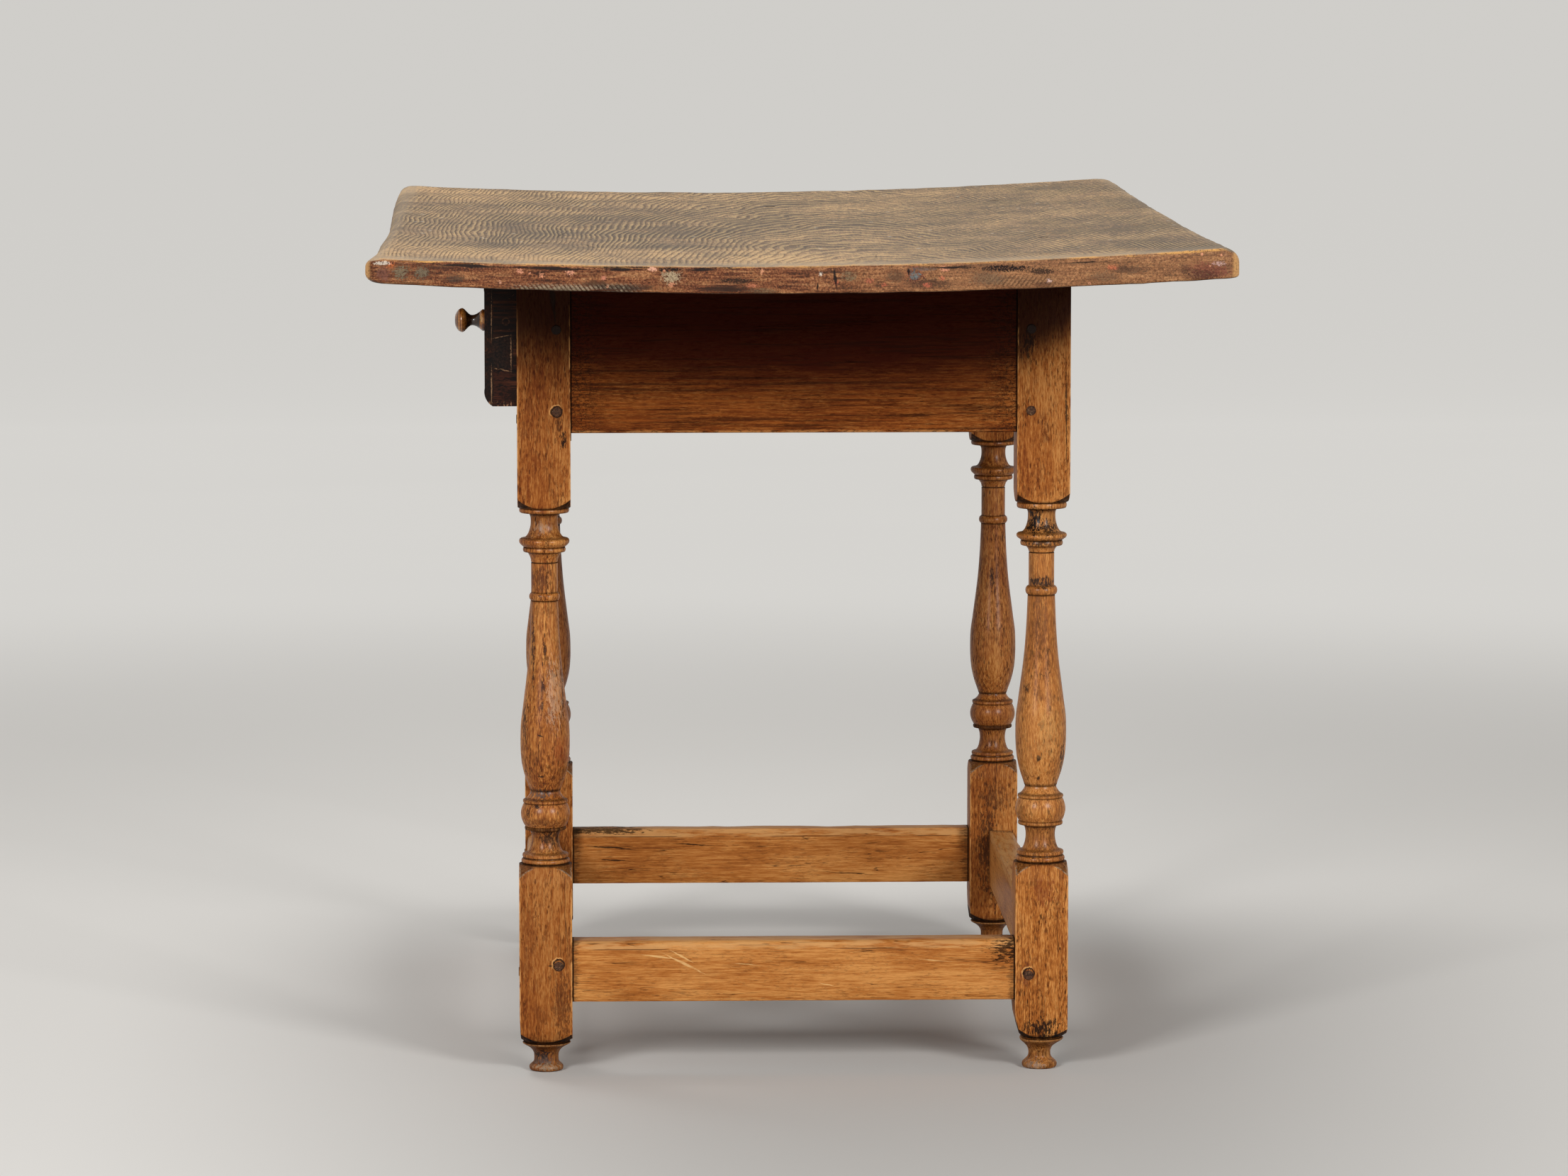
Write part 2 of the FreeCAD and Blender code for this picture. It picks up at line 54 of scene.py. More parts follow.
class Wire:
    # a node socket that can stand in a sum; each sign adds its Math node
    def __init__(self, tree, socket=None):
        self.tree = tree
        self.socket = socket

    def node(self, kind, settings=None, inputs=None, output=0):
        made = self.tree.nodes.new(kind)
        for name, value in (settings or {}).items():
            if name == "stops":
                ramp = made.color_ramp
                while len(ramp.elements) < len(value):
                    ramp.elements.new(0.5)
                for element, (place, colour) in zip(ramp.elements, value):
                    element.position = place
                    element.color = (*paint(colour), 1)
            else:
                setattr(made, name, value)
        for name, value in (inputs or {}).items():
            if isinstance(value, Wire):
                self.tree.links.new(value.socket, made.inputs[name])
            else:
                made.inputs[name].default_value = value
        return Wire(self.tree, made.outputs[output] if made.outputs else None)

    def math(self, operation, *terms):
        return self.node("ShaderNodeMath", {"operation": operation}, dict(enumerate(terms)))

    def __add__(self, other):
        return self.math("ADD", self, other)

    def __sub__(self, other):
        return self.math("SUBTRACT", self, other)

    def __rsub__(self, other):
        return self.math("SUBTRACT", other, self)

    def __mul__(self, other):
        return self.math("MULTIPLY", self, other)

    def __truediv__(self, other):
        return self.math("DIVIDE", self, other)

    def __rtruediv__(self, other):
        return self.math("DIVIDE", other, self)

    def __pow__(self, other):
        return self.math("POWER", self, other)

    def __abs__(self):
        return self.math("ABSOLUTE", self)

    __radd__ = __add__
    __rmul__ = __mul__

    def larger(self, other):
        return self.math("MAXIMUM", self, other)

    def smaller(self, other):
        return self.math("MINIMUM", self, other)

    def rise(self, low, high):
        # 0 below low, 1 above high, eased between; with low above high it falls instead
        return self.node("ShaderNodeMapRange", {"interpolation_type": "SMOOTHSTEP"},
                         {"Value": self, "From Min": low, "From Max": high})

    def band(self, low, high, soft):
        return self.rise(low - soft, low + soft) * self.rise(high + soft, high - soft)

    def ramp(self, *stops):
        return self.node("ShaderNodeValToRGB", {"stops": stops}, {0: self})

    def parts(self):
        split = self.node("ShaderNodeSeparateXYZ", {}, {0: self})
        return [Wire(self.tree, socket) for socket in split.socket.node.outputs]


def mixed(under, over, amount):
    wire = next(item for item in (under, over, amount) if isinstance(item, Wire))
    under, over = [item if isinstance(item, Wire) else (*paint(item), 1) for item in (under, over)]
    return wire.node("ShaderNodeMix", {"data_type": "RGBA"}, {0: amount, 6: under, 7: over}, 2)


class Finish:
    # one material: object coordinates in millimetres, and the colour laid on so far
    def __init__(self, name, along="Z", seed=0.0):
        self.material = bpy.data.materials.new(name)
        self.material.use_nodes = True
        tree = self.material.node_tree
        tree.nodes.clear()
        where = Wire(tree).node("ShaderNodeTexCoord", output="Object")
        self.place = where.node("ShaderNodeVectorMath", {"operation": "SCALE"}, {0: where, "Scale": 1000})
        self.x, self.y, self.z = self.place.parts()
        self.facing = Wire(tree, where.socket.node.outputs["Normal"]).parts()
        order = {"X": (self.y, self.z, self.x), "Y": (self.x, self.z, self.y),
                 "Z": (self.x, self.y, self.z)}[along]
        self.seed = seed
        self.grain = where.node("ShaderNodeCombineXYZ", {}, dict(enumerate(order)))

    def spread(self, place, sizes, moved):
        # coordinates counted in cells of these lengths, moved to a fresh place
        return place.node("ShaderNodeMapping", {}, {
            0: place, "Location": (moved, moved * 0.7, moved * 1.3), "Scale": [1 / size for size in sizes]})

    def alongGrain(self, across, along, seed):
        return self.spread(self.grain, (across, across, along), 37.7 * (self.seed + seed) + 11.3)

    def cloud(self, place, detail, roughness, distortion=0.0):
        return place.node("ShaderNodeTexNoise", {}, {
            "Vector": place, "Scale": 1, "Detail": detail, "Roughness": roughness,
            "Distortion": distortion})

    def noise(self, across, along, seed=0, detail=3, roughness=0.55, distortion=0.0):
        return self.cloud(self.alongGrain(across, along, seed), detail, roughness, distortion)

    def flecks(self, sizes, seed, detail, roughness=0.66):
        # noise with cells of these lengths along x, y and z, whatever way the grain runs
        moved = 41.3 * (self.seed + seed) + 7.9
        return self.cloud(self.spread(self.place, sizes, moved), detail, roughness)

    def cells(self, across, along, seed):
        return self.grain.node("ShaderNodeTexVoronoi", {}, {
            "Vector": self.alongGrain(across, along, seed), "Scale": 1})

    def spot(self, first, second, at, size, soft):
        # a soft-edged round or oval mark at a place on two of the axes
        aside, above = [axis.math("MULTIPLY_ADD", axis, 1 / reach, -middle / reach)
                        for axis, middle, reach in zip((first, second), at, size)]
        far = aside.math("MULTIPLY_ADD", aside, aside, above * above)
        return far.math("SQRT", far).rise(1.0 + soft, 1.0 - soft)

    def ragged(self, near, rough):
        # breaks a soft mark up into specks, dense at its middle
        return (near * 0.75 + rough).rise(0.0, 0.3) * near.rise(0.0, 0.2)

    def stroke(self, first, second, mark):
        # a straight mark, given by its two ends and its width, thinning to nothing at its ends
        x, z, toX, toZ, width = mark
        length = math.dist((x, z), (toX, toZ))
        a, b = (toX - x) / length, (toZ - z) / length
        onward, aside = [
            first.math("MULTIPLY_ADD", first, p, second.math("MULTIPLY_ADD", second, q, -x * p - z * q))
            for p, q in ((a, b), (-b, a))]
        taper = 1 - abs(onward * (2 / length) - 1)
        return (taper * width - abs(aside)).rise(0.0, 0.5 * width)

    def over(self, tint, amount):
        self.colour = mixed(self.colour, tint, amount)

    def done(self, roughness, height, depth, coat=0.0, coatRoughness=0.25, specular=0.5, glow=None):
        # depth is how far the bump stands, in millimetres, where height is 1
        inputs = {"Base Color": self.colour, "Roughness": roughness, "Coat Weight": coat,
                  "Coat Roughness": coatRoughness, "Specular IOR Level": specular}
        if glow is not None:
            inputs.update({"Emission Color": glow, "Emission Strength": 1})
        if height is not None:
            inputs["Normal"] = height.node("ShaderNodeBump", {}, {
                "Strength": 1, "Distance": depth / 1000, "Height": height})
        shader = self.grain.node("ShaderNodeBsdfPrincipled", {}, inputs)
        shader.node("ShaderNodeOutputMaterial", {}, {"Surface": shader})
        return self.material


def onlySelect(piece):
    bpy.ops.object.select_all(action="DESELECT")
    piece.select_set(True)
    bpy.context.view_layer.objects.active = piece


def selectEdges(piece, wanted):
    # edit mode: selects the edges for which wanted(first end, second end) holds
    bpy.context.tool_settings.mesh_select_mode = (False, True, False)
    bpy.ops.mesh.select_all(action="DESELECT")
    bpy.ops.object.mode_set(mode="OBJECT")
    points = piece.data.vertices
    for edge in piece.data.edges:
        edge.select = wanted(points[edge.vertices[0]].co, points[edge.vertices[1]].co)
    bpy.ops.object.mode_set(mode="EDIT")


def sliced(place, normal, **settings):
    # edit mode: one straight cut through the whole piece
    bpy.ops.mesh.select_all(action="SELECT")
    bpy.ops.mesh.bisect(plane_co=place, plane_no=normal, **settings)


def slicedAlong(axis, low, high, cuts):
    # cuts at equal steps along an axis
    for number in range(1, cuts):
        place, normal = [0, 0, 0], [0, 0, 0]
        place[axis] = low + (high - low) * number / cuts
        normal[axis] = 1
        sliced(place, normal)


def applied(piece, kind, **settings):
    modifier = piece.modifiers.new(kind.lower(), kind)
    for name, value in settings.items():
        setattr(modifier, name, value)
    onlySelect(piece)
    bpy.ops.object.modifier_apply(modifier=modifier.name)


def weights(piece, name, rule):
    # a vertex group filled by place; modifiers use it to act on a part of the piece
    group = piece.vertex_groups.new(name=name)
    for point in piece.data.vertices:
        group.add([point.index], max(0.0, min(1.0, rule(point.co))), "REPLACE")
    return name


def weathered(piece, name, rule, size, depth, **settings):
    # lets a cloudy texture move the part of the surface that the rule names
    texture = bpy.data.textures.new(name, "CLOUDS")
    texture.noise_scale = size
    texture.noise_depth = depth
    applied(piece, "DISPLACE", vertex_group=weights(piece, name, rule), texture=texture,
            texture_coords="GLOBAL", **settings)


def drawnLine(name, points):
    # a single point that is extruded along an outline, left in edit mode
    bpy.ops.object.select_all(action="DESELECT")
    bpy.ops.mesh.primitive_plane_add(size=0.002, location=(0, 0, 0))
    piece = bpy.context.active_object
    piece.name = piece.data.name = name
    bpy.ops.object.mode_set(mode="EDIT")
    bpy.context.tool_settings.mesh_select_mode = (True, False, False)
    bpy.ops.mesh.select_all(action="SELECT")
    bpy.ops.mesh.merge(type="CENTER")
    bpy.ops.transform.translate(value=points[0])
    for start, end in zip(points, points[1:]):
        step = tuple(b - a for a, b in zip(start, end))
        bpy.ops.mesh.extrude_vertices_move(TRANSFORM_OT_translate={"value": step})
    bpy.ops.mesh.select_all(action="SELECT")
    return piece


def turned(name, points, centre, axis, sides):
    # an outline spun about its axis
    piece = drawnLine(name, points)
    bpy.ops.mesh.spin(steps=sides, angle=math.tau, center=centre, axis=axis)
    bpy.ops.mesh.select_all(action="SELECT")
    bpy.ops.mesh.remove_doubles(threshold=0.00002)
    bpy.ops.mesh.normals_make_consistent(inside=False)
    return piece


def flowing(points, steps=4):
    # a smooth run through the given points (Catmull-Rom)
    ends = [points[0]] + list(points) + [points[-1]]
    run = [points[0]]
    for a, b, c, d in zip(ends, ends[1:], ends[2:], ends[3:]):
        for step in range(1, steps + 1):
            t = step / steps
            run.append(tuple(0.5 * (2 * q + (r - p) * t + (2 * p - 5 * q + 4 * r - s) * t * t
                                    + (3 * q - p - 3 * r + s) * t ** 3)
                             for p, q, r, s in zip(a, b, c, d)))
    return run


def between(start, end, *shares):
    # points at these shares of the way from one radius to the other and from one height to the other
    return [(start[0] + across * (end[0] - start[0]), start[1] + up * (end[1] - start[1]))
            for across, up in shares]


class Outline:
    # half the section of a turned piece, as (radius, height) in millimetres
    def __init__(self, *start):
        self.points = [start]

    def to(self, radius, height):
        if math.dist(self.points[-1], (radius, height)) > 0.01:
            self.points.append((radius, height))

    def step(self, radius):
        self.to(radius, self.points[-1][1])

    def bead(self, radius, root, top, steps):
        # a half round that stands on root and ends there
        self.step(root)
        low = self.points[-1][1]
        for number in range(1, steps + 1):
            angle = math.pi * number / steps
            self.to(root + (radius - root) * math.sin(angle), low + (top - low) * (1 - math.cos(angle)) / 2)

    def swell(self, middle, radius, top, steps):
        # a shallow arc from here to (radius, top), middle is its radius half way up
        start, low = self.points[-1]
        for number in range(1, steps + 1):
            t = number / steps
            bulge = 4 * t * (1 - t) * (middle - (start + radius) / 2)
            self.to(start + (radius - start) * t + bulge, low + (top - low) * t)

    def through(self, *points, steps=4):
        for place in flowing([self.points[-1], *points], steps)[1:]:
            self.to(*place)


print("modelling tools")


# The legs: square blocks at the joints, turned between them. Heights and radii in millimetres.

legLook = {
    "square": 23.1, "arris": 1.3, "sides": 80, "smooth": 34, "blankTop": 722, "roundTop": 0.69,
    "foot": [(13.2, 0.2), (14.4, 0.8), (15, 2.4), (14.9, 3.8), (14.2, 5), (12.6, 6.5), (11.2, 7.9),
             (10.8, 9.6), (10.7, 12.6), (11, 15.2), (12, 17.4), (13.6, 19.4), (16.2, 21.4), (19, 22.9),
             (20.8, 23.9), (21.4, 24.6), (21.2, 25.2), (20.2, 25.5), (19.3, 25.6)],
    "footShoulder": (19.6, 26, 11.5), "headShoulder": (23.2, 16), "capShoulder": (22.6, 12.5),
    "wornFoot": 0.001, "wornAt": (0.010, 0.013, 0.030, 0.020), "footRows": (0.036, 0.041, 0.047, 0.055),
    "block": 184, "pegs": [],
    "ring": (21.4, 189), "fillet": (20.4, 189.8, 192.9), "lowCove": (12.3, 207),
    "plate": (19, 216.3, 219.4), "ball": (21.7, 241), "lip": (19.9, 243.3), "neck": (13.2, 250.5),
    "belly": (22, 296), "head": (11.9, 417), "bead": (13.9, 425), "shaft": (11.5, 453.3),
    "flare": (15.2, 460.4), "discFillet": (18.9, 464.5), "disc": (22, 471.9), "highCove": (11.7, 486.5),
    "cap": (21.8, 494.2, 498.6),
}
legShapes = {
    "front_left": {
        **legLook, "pegs": [(11.3, 97, 4.4), (11.3, 582.3, 4.4)], "ring": (21.2, 188.7),
        "fillet": (20.3, 189.4, 192.8), "lowCove": (11.8, 206), "plate": (18.2, 213.8, 216.4),
        "ball": (21.4, 237.6), "lip": (19.6, 240.4), "neck": (12.7, 248.5), "belly": (21.6, 291.5),
        "head": (11.7, 415.2), "bead": (13.4, 422.9), "shaft": (11.6, 449.5), "flare": (15, 458.3),
        "discFillet": (18.7, 462.4), "disc": (22, 470.2), "highCove": (11.8, 484.8),
        "cap": (21.8, 492.7, 497)},
    "front_right": {
        **legLook, "pegs": [(-11.3, 87, 4.4)], "wornFoot": 0.005, "footShoulder": (19.4, 28, 11.5),
        "foot": [(13.6, 0.2), (14.8, 0.8), (15.4, 2.8), (15.2, 4.4), (13.8, 6.2), (11.6, 8.2), (10.2, 10),
                 (9.7, 12.4), (9.8, 15), (10.6, 17.4), (12.2, 19.6), (14.8, 21.6), (17.8, 23.4),
                 (20, 24.9), (21, 26.1), (20.9, 26.8), (20, 27.2), (19.2, 27.5)],
        "ring": (21.6, 189.3), "fillet": (20.6, 190.1, 193.6), "lowCove": (12.8, 207.6),
        "plate": (19.7, 216.4, 219.6), "ball": (22, 240.5), "lip": (20.1, 243.1), "neck": (13.6, 251.2),
        "belly": (22.3, 298.5), "head": (12, 419), "bead": (14, 427.3), "shaft": (11.2, 457.1),
        "flare": (14.6, 462.7), "discFillet": (18.6, 467.2), "disc": (22.1, 473.6), "highCove": (12, 489),
        "cap": (21.9, 495.6, 501)},
    "back_left": {**legLook, "belly": (21.7, 294)},
    "back_right": {**legLook, "ball": (21.9, 240.2), "belly": (22.2, 297), "disc": (22.2, 472.4)},
}
cupLook = {"underside": 702.5, "thickness": 23, "radius": 5900, "middle": -22, "faceMiddle": -60}


def cupLift(x, middle=cupLook["middle"]):
    # how far the cupped board stands over its lowest line, x in metres
    across = x * 1000 - middle
    return (cupLook["radius"] - math.sqrt(cupLook["radius"] ** 2 - across ** 2)) / 1000


def legOutline(shape):
    corner = shape["square"] * 1.5
    line = Outline(0, 0)
    line.to(shape["foot"][0][0] - 1, 0)
    line.through(*shape["foot"], steps=3)
    inner, start, rise = shape["footShoulder"]
    line.to(inner, start)
    line.swell(inner + (corner - inner) * 0.56, corner, start + rise, 7)
    inner, rise = shape["headShoulder"]
    line.to(corner, shape["block"] - rise)
    line.swell(inner + (corner - inner) * 0.62, inner, shape["block"] - 0.5, 9)
    line.step(inner - 3.4)
    line.to(inner - 3.4, shape["block"])
    ring, ringTop = shape["ring"]
    line.bead(ring, ring - 2.2, ringTop, 7)
    fillet, filletLow, filletTop = shape["fillet"]
    line.to(ring - 2.4, filletLow)
    line.bead(fillet, fillet - 0.8, filletTop, 4)
    waist, waistAt = shape["lowCove"]
    plate, plateLow, plateTop = shape["plate"]
    run = plateLow - waistAt
    line.through(*between((waist, filletTop), (fillet - 1.2, waistAt),
                          (0.52, 0.10), (0.24, 0.34), (0.07, 0.66), (0, 1)),
                 (waist + 0.5, waistAt + run * 0.5), (waist + 1.6, waistAt + run * 0.85),
                 (waist + 2.6, plateLow))
    line.bead(plate, plate - 0.7, plateTop, 4)
    ball, ballTop = shape["ball"]
    lip, lipTop = shape["lip"]
    line.step(plate - 0.9)
    line.swell(ball, lip - 1.1, ballTop, 12)
    line.bead(lip, lip - 0.6, lipTop, 4)
    neck, neckTop = shape["neck"]
    line.step(lip - 1.4)
    run = neckTop - lipTop
    line.through((neck + 2.6, lipTop + run * 0.32), (neck + 0.7, lipTop + run * 0.68), (neck, neckTop))
    line.step(neck + 0.5)
    belly, head = shape["belly"], shape["head"]
    line.through(*between((neck + 0.5, neckTop), belly,
                          (0.18, 0.1), (0.42, 0.22), (0.67, 0.38), (0.87, 0.57), (0.97, 0.78), (1, 1)),
                 *between((head[0], belly[1]), (belly[0], head[1]), (0.96, 0.12), (0.79, 0.23),
                          (0.62, 0.34), (0.45, 0.45), (0.3, 0.56), (0.18, 0.68), (0.08, 0.82), (0, 1)),
                 steps=3)
    bead, beadTop = shape["bead"]
    line.bead(bead, bead - 3, beadTop, 8)
    shaft, shaftTop = shape["shaft"]
    for radius, height in ((shaft, beadTop), (shaft, shaftTop - 0.9), (shaft - 0.9, shaftTop - 0.9),
                           (shaft - 0.9, shaftTop), (shaft, shaftTop)):
        line.to(radius, height)
    flare, flareTop = shape["flare"]
    line.swell(shaft + 0.9, flare, flareTop, 5)
    fillet, filletTop = shape["discFillet"]
    line.bead(fillet, fillet - 1, filletTop, 5)
    disc, discTop = shape["disc"]
    line.step(fillet - 0.8)
    run = discTop - filletTop
    line.through((disc - 0.9, filletTop + run * 0.38), (disc, filletTop + run * 0.68),
                 (disc - 0.5, filletTop + run * 0.9), (disc - 1.4, discTop), steps=3)
    waist, waistAt = shape["highCove"]
    cap, capLow, capTop = shape["cap"]
    run = waistAt - discTop
    line.through((waist + 5, discTop + run * 0.07), (waist + 2.4, discTop + run * 0.28),
                 (waist + 0.5, discTop + run * 0.66), (waist, waistAt),
                 (waist + 0.4, waistAt + (capLow - waistAt) * 0.6), (waist + 2.2, capLow))
    line.bead(cap, cap - 1.2, capTop, 6)
    inner, rise = shape["capShoulder"]
    line.step(inner)
    line.swell(inner + (corner - inner) * 0.62, corner, capTop + rise, 8)
    line.to(corner, shape["blankTop"])
    line.to(0, shape["blankTop"])
    return line.points


def makeLeg(corner, centre, shape, finish):
    name = "leg_" + corner
    cx, cy = centre
    half = shape["square"] / 1000
    points = [(cx + radius / 1000, cy, height / 1000) for radius, height in legOutline(shape)]
    leg = turned(name + "_turned", points, (cx, cy, 0), (0, 0, 1), shape["sides"])
    for x, y in ((1, 0), (-1, 0), (0, 1), (0, -1)):         # the four sawn faces
        sliced((cx + x * half, cy + y * half, 0), (x, y, 0), use_fill=True, clear_outer=True)
    slope = (cx * 1000 - cupLook["middle"]) / cupLook["radius"]
    top = cupLook["underside"] / 1000 + cupLift(cx) - 0.0001
    sliced((cx, cy, top), (-slope, 0, 1), use_fill=True, clear_outer=True)
    for height in shape["footRows"]:                        # rows for the worn corner to bend in
        sliced((cx, cy, height), (0, 0, 1))
    leg.data.materials.append(finish)

    def onFaces(a, b):
        outside = all(max(abs(p.x - cx), abs(p.y - cy)) > half - 0.00001 for p in (a, b))
        return outside and min(a.z, b.z) < shape["roundTop"]
    selectEdges(leg, onFaces)
    bpy.ops.mesh.bevel(offset=shape["arris"] / 1000, segments=3, affect="EDGES", clamp_overlap=True)
    bpy.ops.object.mode_set(mode="OBJECT")

    def wornCorner(p):
        inset, fade, height, reach = shape["wornAt"]
        aside = max(0.0, min(1.0, (cx - inset - p.x) / fade))
        return aside * max(0.0, 1 - abs(p.z - height) / reach)
    applied(leg, "DISPLACE", strength=shape["wornFoot"], mid_level=0.0, direction="X",
            vertex_group=weights(leg, "worn", wornCorner))
    leg.vertex_groups.clear()
    onlySelect(leg)
    bpy.ops.object.shade_smooth_by_angle(angle=math.radians(shape["smooth"]))
    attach(leg, "frame")
    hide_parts(name)
    print(leg.name, len(leg.data.polygons), "faces")


# The hardwood of the frame: orange-brown under an old varnish, flecked, with dirt and painted shade in its
# hollows

mapleLook = {
    "light": (214, 148, 80), "middle": (176, 106, 46), "dark": (120, 60, 22), "red": (104, 40, 14),
    "fleck": (52, 22, 8), "grime": (18, 9, 5), "smoke": (84, 42, 20), "arris": (226, 164, 98),
    "soot": (34, 22, 16), "archWearAndGlint": (232, 200, 164), "boardShadow": (42, 12, 4),
}


def mapleFinish(name, along, seed, shade=0.0, extra=None, gloss=0.34, specular=0.07, speck=1.0, run=1.0):
    # speck is how strongly the pores show, run lengthens the grain
    look = mapleLook
    wood = Finish(name, along, seed)
    broad = wood.noise(34, 120, 1, 3, 0.5)
    streak = wood.noise(1.8, 30 * run, 2, 5, 0.68)
    fine = wood.noise(1, 6 * run, 3, 4, 0.66)
    calm = 0.35 + 0.65 * speck
    tone = 0.5 - shade + (broad - 0.5) * 0.35 + ((streak - 0.5) * 0.5 + (fine - 0.5) * 0.6) * calm
    wood.colour = tone.ramp((0.37, look["dark"]), (0.50, look["middle"]), (0.62, look["light"]))
    # short dark pores, crowded in some places, and longer dashes between them
    crowd = wood.noise(15, 40, 5, 3)
    pores = wood.noise(1.4, 6, 4, 2, 0.6).rise(0.54, 0.60) * crowd.rise(0.36, 0.58) * speck
    wood.over(look["fleck"], pores * 0.62)
    dashes = wood.cells(3.6, 15, 6).rise(0.20, 0.11) * wood.noise(24, 60, 7, 3).rise(0.48, 0.56) * speck
    wood.over(look["fleck"], dashes * 0.85)
    check = abs(wood.noise(8, 170, 10, 3) - 0.5).rise(0.008, 0.003)
    check = check * wood.noise(12, 40, 11, 2).rise(0.53, 0.6)
    wood.over(look["fleck"], check * 0.85)
    wood.over(look["smoke"], wood.noise(13, 24 * run, 8, 6, 0.74).rise(0.54, 0.66) * 0.45 * speck)
    # painted shade: ambient occlusion darkens the hollows, standing in for the shade there as well as for
    # dirt
    hollow = wood.grain.node("ShaderNodeAmbientOcclusion", {"only_local": True, "samples": 8},
                             {"Distance": 0.010}, 1)
    rag = wood.noise(3, 8, 9, 5, 0.65)
    wood.grime = (1 - hollow + rag * 0.7 - 0.35).rise(0.20, 0.66) * 0.9
    wood.height = streak * 0.25 + fine * 0.3 - pores * 0.35 - dashes * 0.8 - check * 0.9
    sheen = extra(wood) if extra else 1.0
    grime = wood.grime
    wood.over(look["grime"], grime)
    rough = 0.36 + fine * 0.16 + pores * 0.2 + broad * 0.1 + grime * 0.25
    coat = (1 - grime) * wood.z.rise(650, 560) * (1 - pores * 0.5) * sheen * gloss
    return wood.done(rough, wood.height, 0.3, coat, 0.25, specular)


def heightMarks(wood, marks):
    # dirt and painted shade in the roots of the mouldings; each mark is (height, reach, strength)
    total = None
    for group in (marks[:9], marks[9:]):
        low, high = group[0][0] - group[0][1], group[-1][0] + group[-1][1]
        span = high - low
        stops = [(low, 0)]
        for mark, after in zip(group, group[1:] + [None]):
            stops.append((mark[0], mark[2]))
            if after and after[0] - after[1] > mark[0] + mark[1]:
                stops += [(mark[0] + mark[1], 0), (after[0] - after[1], 0)]
        stops.append((high, 0))
        lines = ((wood.z - low) / span).ramp(*[((place - low) / span, value) for place, value in stops])
        total = lines if total is None else total.larger(lines)
    return total


# marks on single legs: (across from the middle, height), half size, colour, strength
legSpots = {
    "front_left": [
        ((-2, 343), (5, 14), (104, 52, 34), 0.4), ((-10, 372), (1.3, 30), (40, 18, 10), 0.85),
        ((0, 374), (1.6, 8), (34, 15, 9), 0.85), ((-2, 325), (1.5, 5), (44, 20, 12), 0.8),
        # the pale mark at (9, 335) is a painted sheen highlight on the vase
        ((-18, 311), (1.2, 12), (44, 22, 12), 0.85), ((9, 335), (8, 26), (214, 168, 128), 0.5),
        ((14, 284), (8, 12), (146, 62, 24), 0.5), ((-3, 434), (9, 12), (72, 34, 16), 0.7),
        ((-2, 480), (8, 5), (206, 164, 128), 0.5), ((5, 208), (10, 7), (24, 13, 9), 0.8),
        ((-4, 246), (9, 4), (92, 80, 72), 0.7), ((-8, 236), (3, 1.6), (26, 14, 10), 0.9),
        ((-15, 230), (1.3, 5), (36, 18, 10), 0.8), ((-2, 222), (14, 4), (60, 30, 16), 0.5),
        ((-14, 120), (6, 26), (120, 62, 26), 0.5), ((14, 62), (8, 26), (74, 38, 20), 0.6),
        ((17, 558), (3, 7), (26, 14, 9), 0.95), ((13, 575), (3, 10), (60, 32, 18), 0.6),
        ((-3, 10), (9, 8), (92, 86, 84), 0.7), ((0, 4), (13, 3), (206, 168, 130), 0.6),
        ((-4, 16), (8, 4), (30, 24, 22), 0.8)],
    "front_right": [
        ((-1, 306), (3.6, 3.4), (74, 34, 16), 0.85), ((-3, 277), (1.8, 3), (30, 16, 10), 0.9),
        ((17, 272), (1.2, 14), (36, 18, 10), 0.9), ((-2, 395), (6, 30), (96, 58, 36), 0.45),
        ((-13, 338), (2.4, 5), (60, 30, 18), 0.7), ((4, 300), (9, 20), (214, 158, 92), 0.45),
        ((2, 158), (10, 13), (128, 60, 30), 0.6), ((3, 38), (12, 9), (26, 17, 13), 0.95),
        ((-13, 38), (3, 8), (44, 26, 16), 0.8), ((-21, 118), (1.2, 3), (22, 12, 8), 0.95),
        ((-14, 86), (7, 9), (106, 56, 38), 0.6), ((-6, 3), (8, 5), (196, 170, 146), 0.5),
        ((0, 431), (11, 5), (24, 17, 18), 0.9), ((-8, 485), (7, 12), (18, 11, 8), 1),
        ((5, 479), (8, 6), (30, 18, 12), 0.9), ((0, 466), (18, 3), (26, 15, 10), 0.8),
        ((-14, 640), (6, 12), (18, 8, 5), 0.8)],
    "back_left": [
        ((4, 120), (8, 30), (84, 46, 24), 0.6)],
    "back_right": [
        ((-6, 100), (9, 40), (60, 34, 20), 0.8), ((5, 60), (8, 20), (34, 20, 14), 0.9),
        ((-2, 366), (2, 10), (50, 24, 20), 0.8), ((0, 150), (14, 14), (70, 38, 22), 0.6)],
}
# fine cracks and scratches: from (across, height), to (across, height), width
legCracks = {
    "front_left": [
        (-4, 349, 1, 335, 1.9), (-8, 300, 0, 297.5, 1.2), (-7, 262.4, 1, 262.1, 1.1),
        (-1, 356, -3, 326, 0.9), (14, 396, 16, 300, 0.6), (0, 96, 10, 95.6, 1.1),
        (5.4, 712, 11.2, 652, 3.4)],
    "front_right": [
        (-15, 340, -12, 334, 1.3), (-2, 262, -4, 256, 1.1), (18, 262, 20, 296, 0.8),
        (19, 642, 19.8, 516, 0.9)],
    "back_left": [],
    "back_right": [
        (-4, 372, 0, 360, 1.4)],
}
# how much redder or darker the upper block (partly painted shade under the top), the turning and the lower
# block are, then the heights between which the top's shadow is painted over the upper block and how that line
# slants
legShades = {
    "front_left": (0.12, 0.0, 0.14, (588, 664), 0.0), "front_right": (0.08, -0.03, 0.0, (616, 656), 0.5),
    "back_left": (0.12, 0.036, 0.10, (590, 640), 0.0), "back_right": (0.10, 0.024, 0.08, (590, 640), 0.0),
}


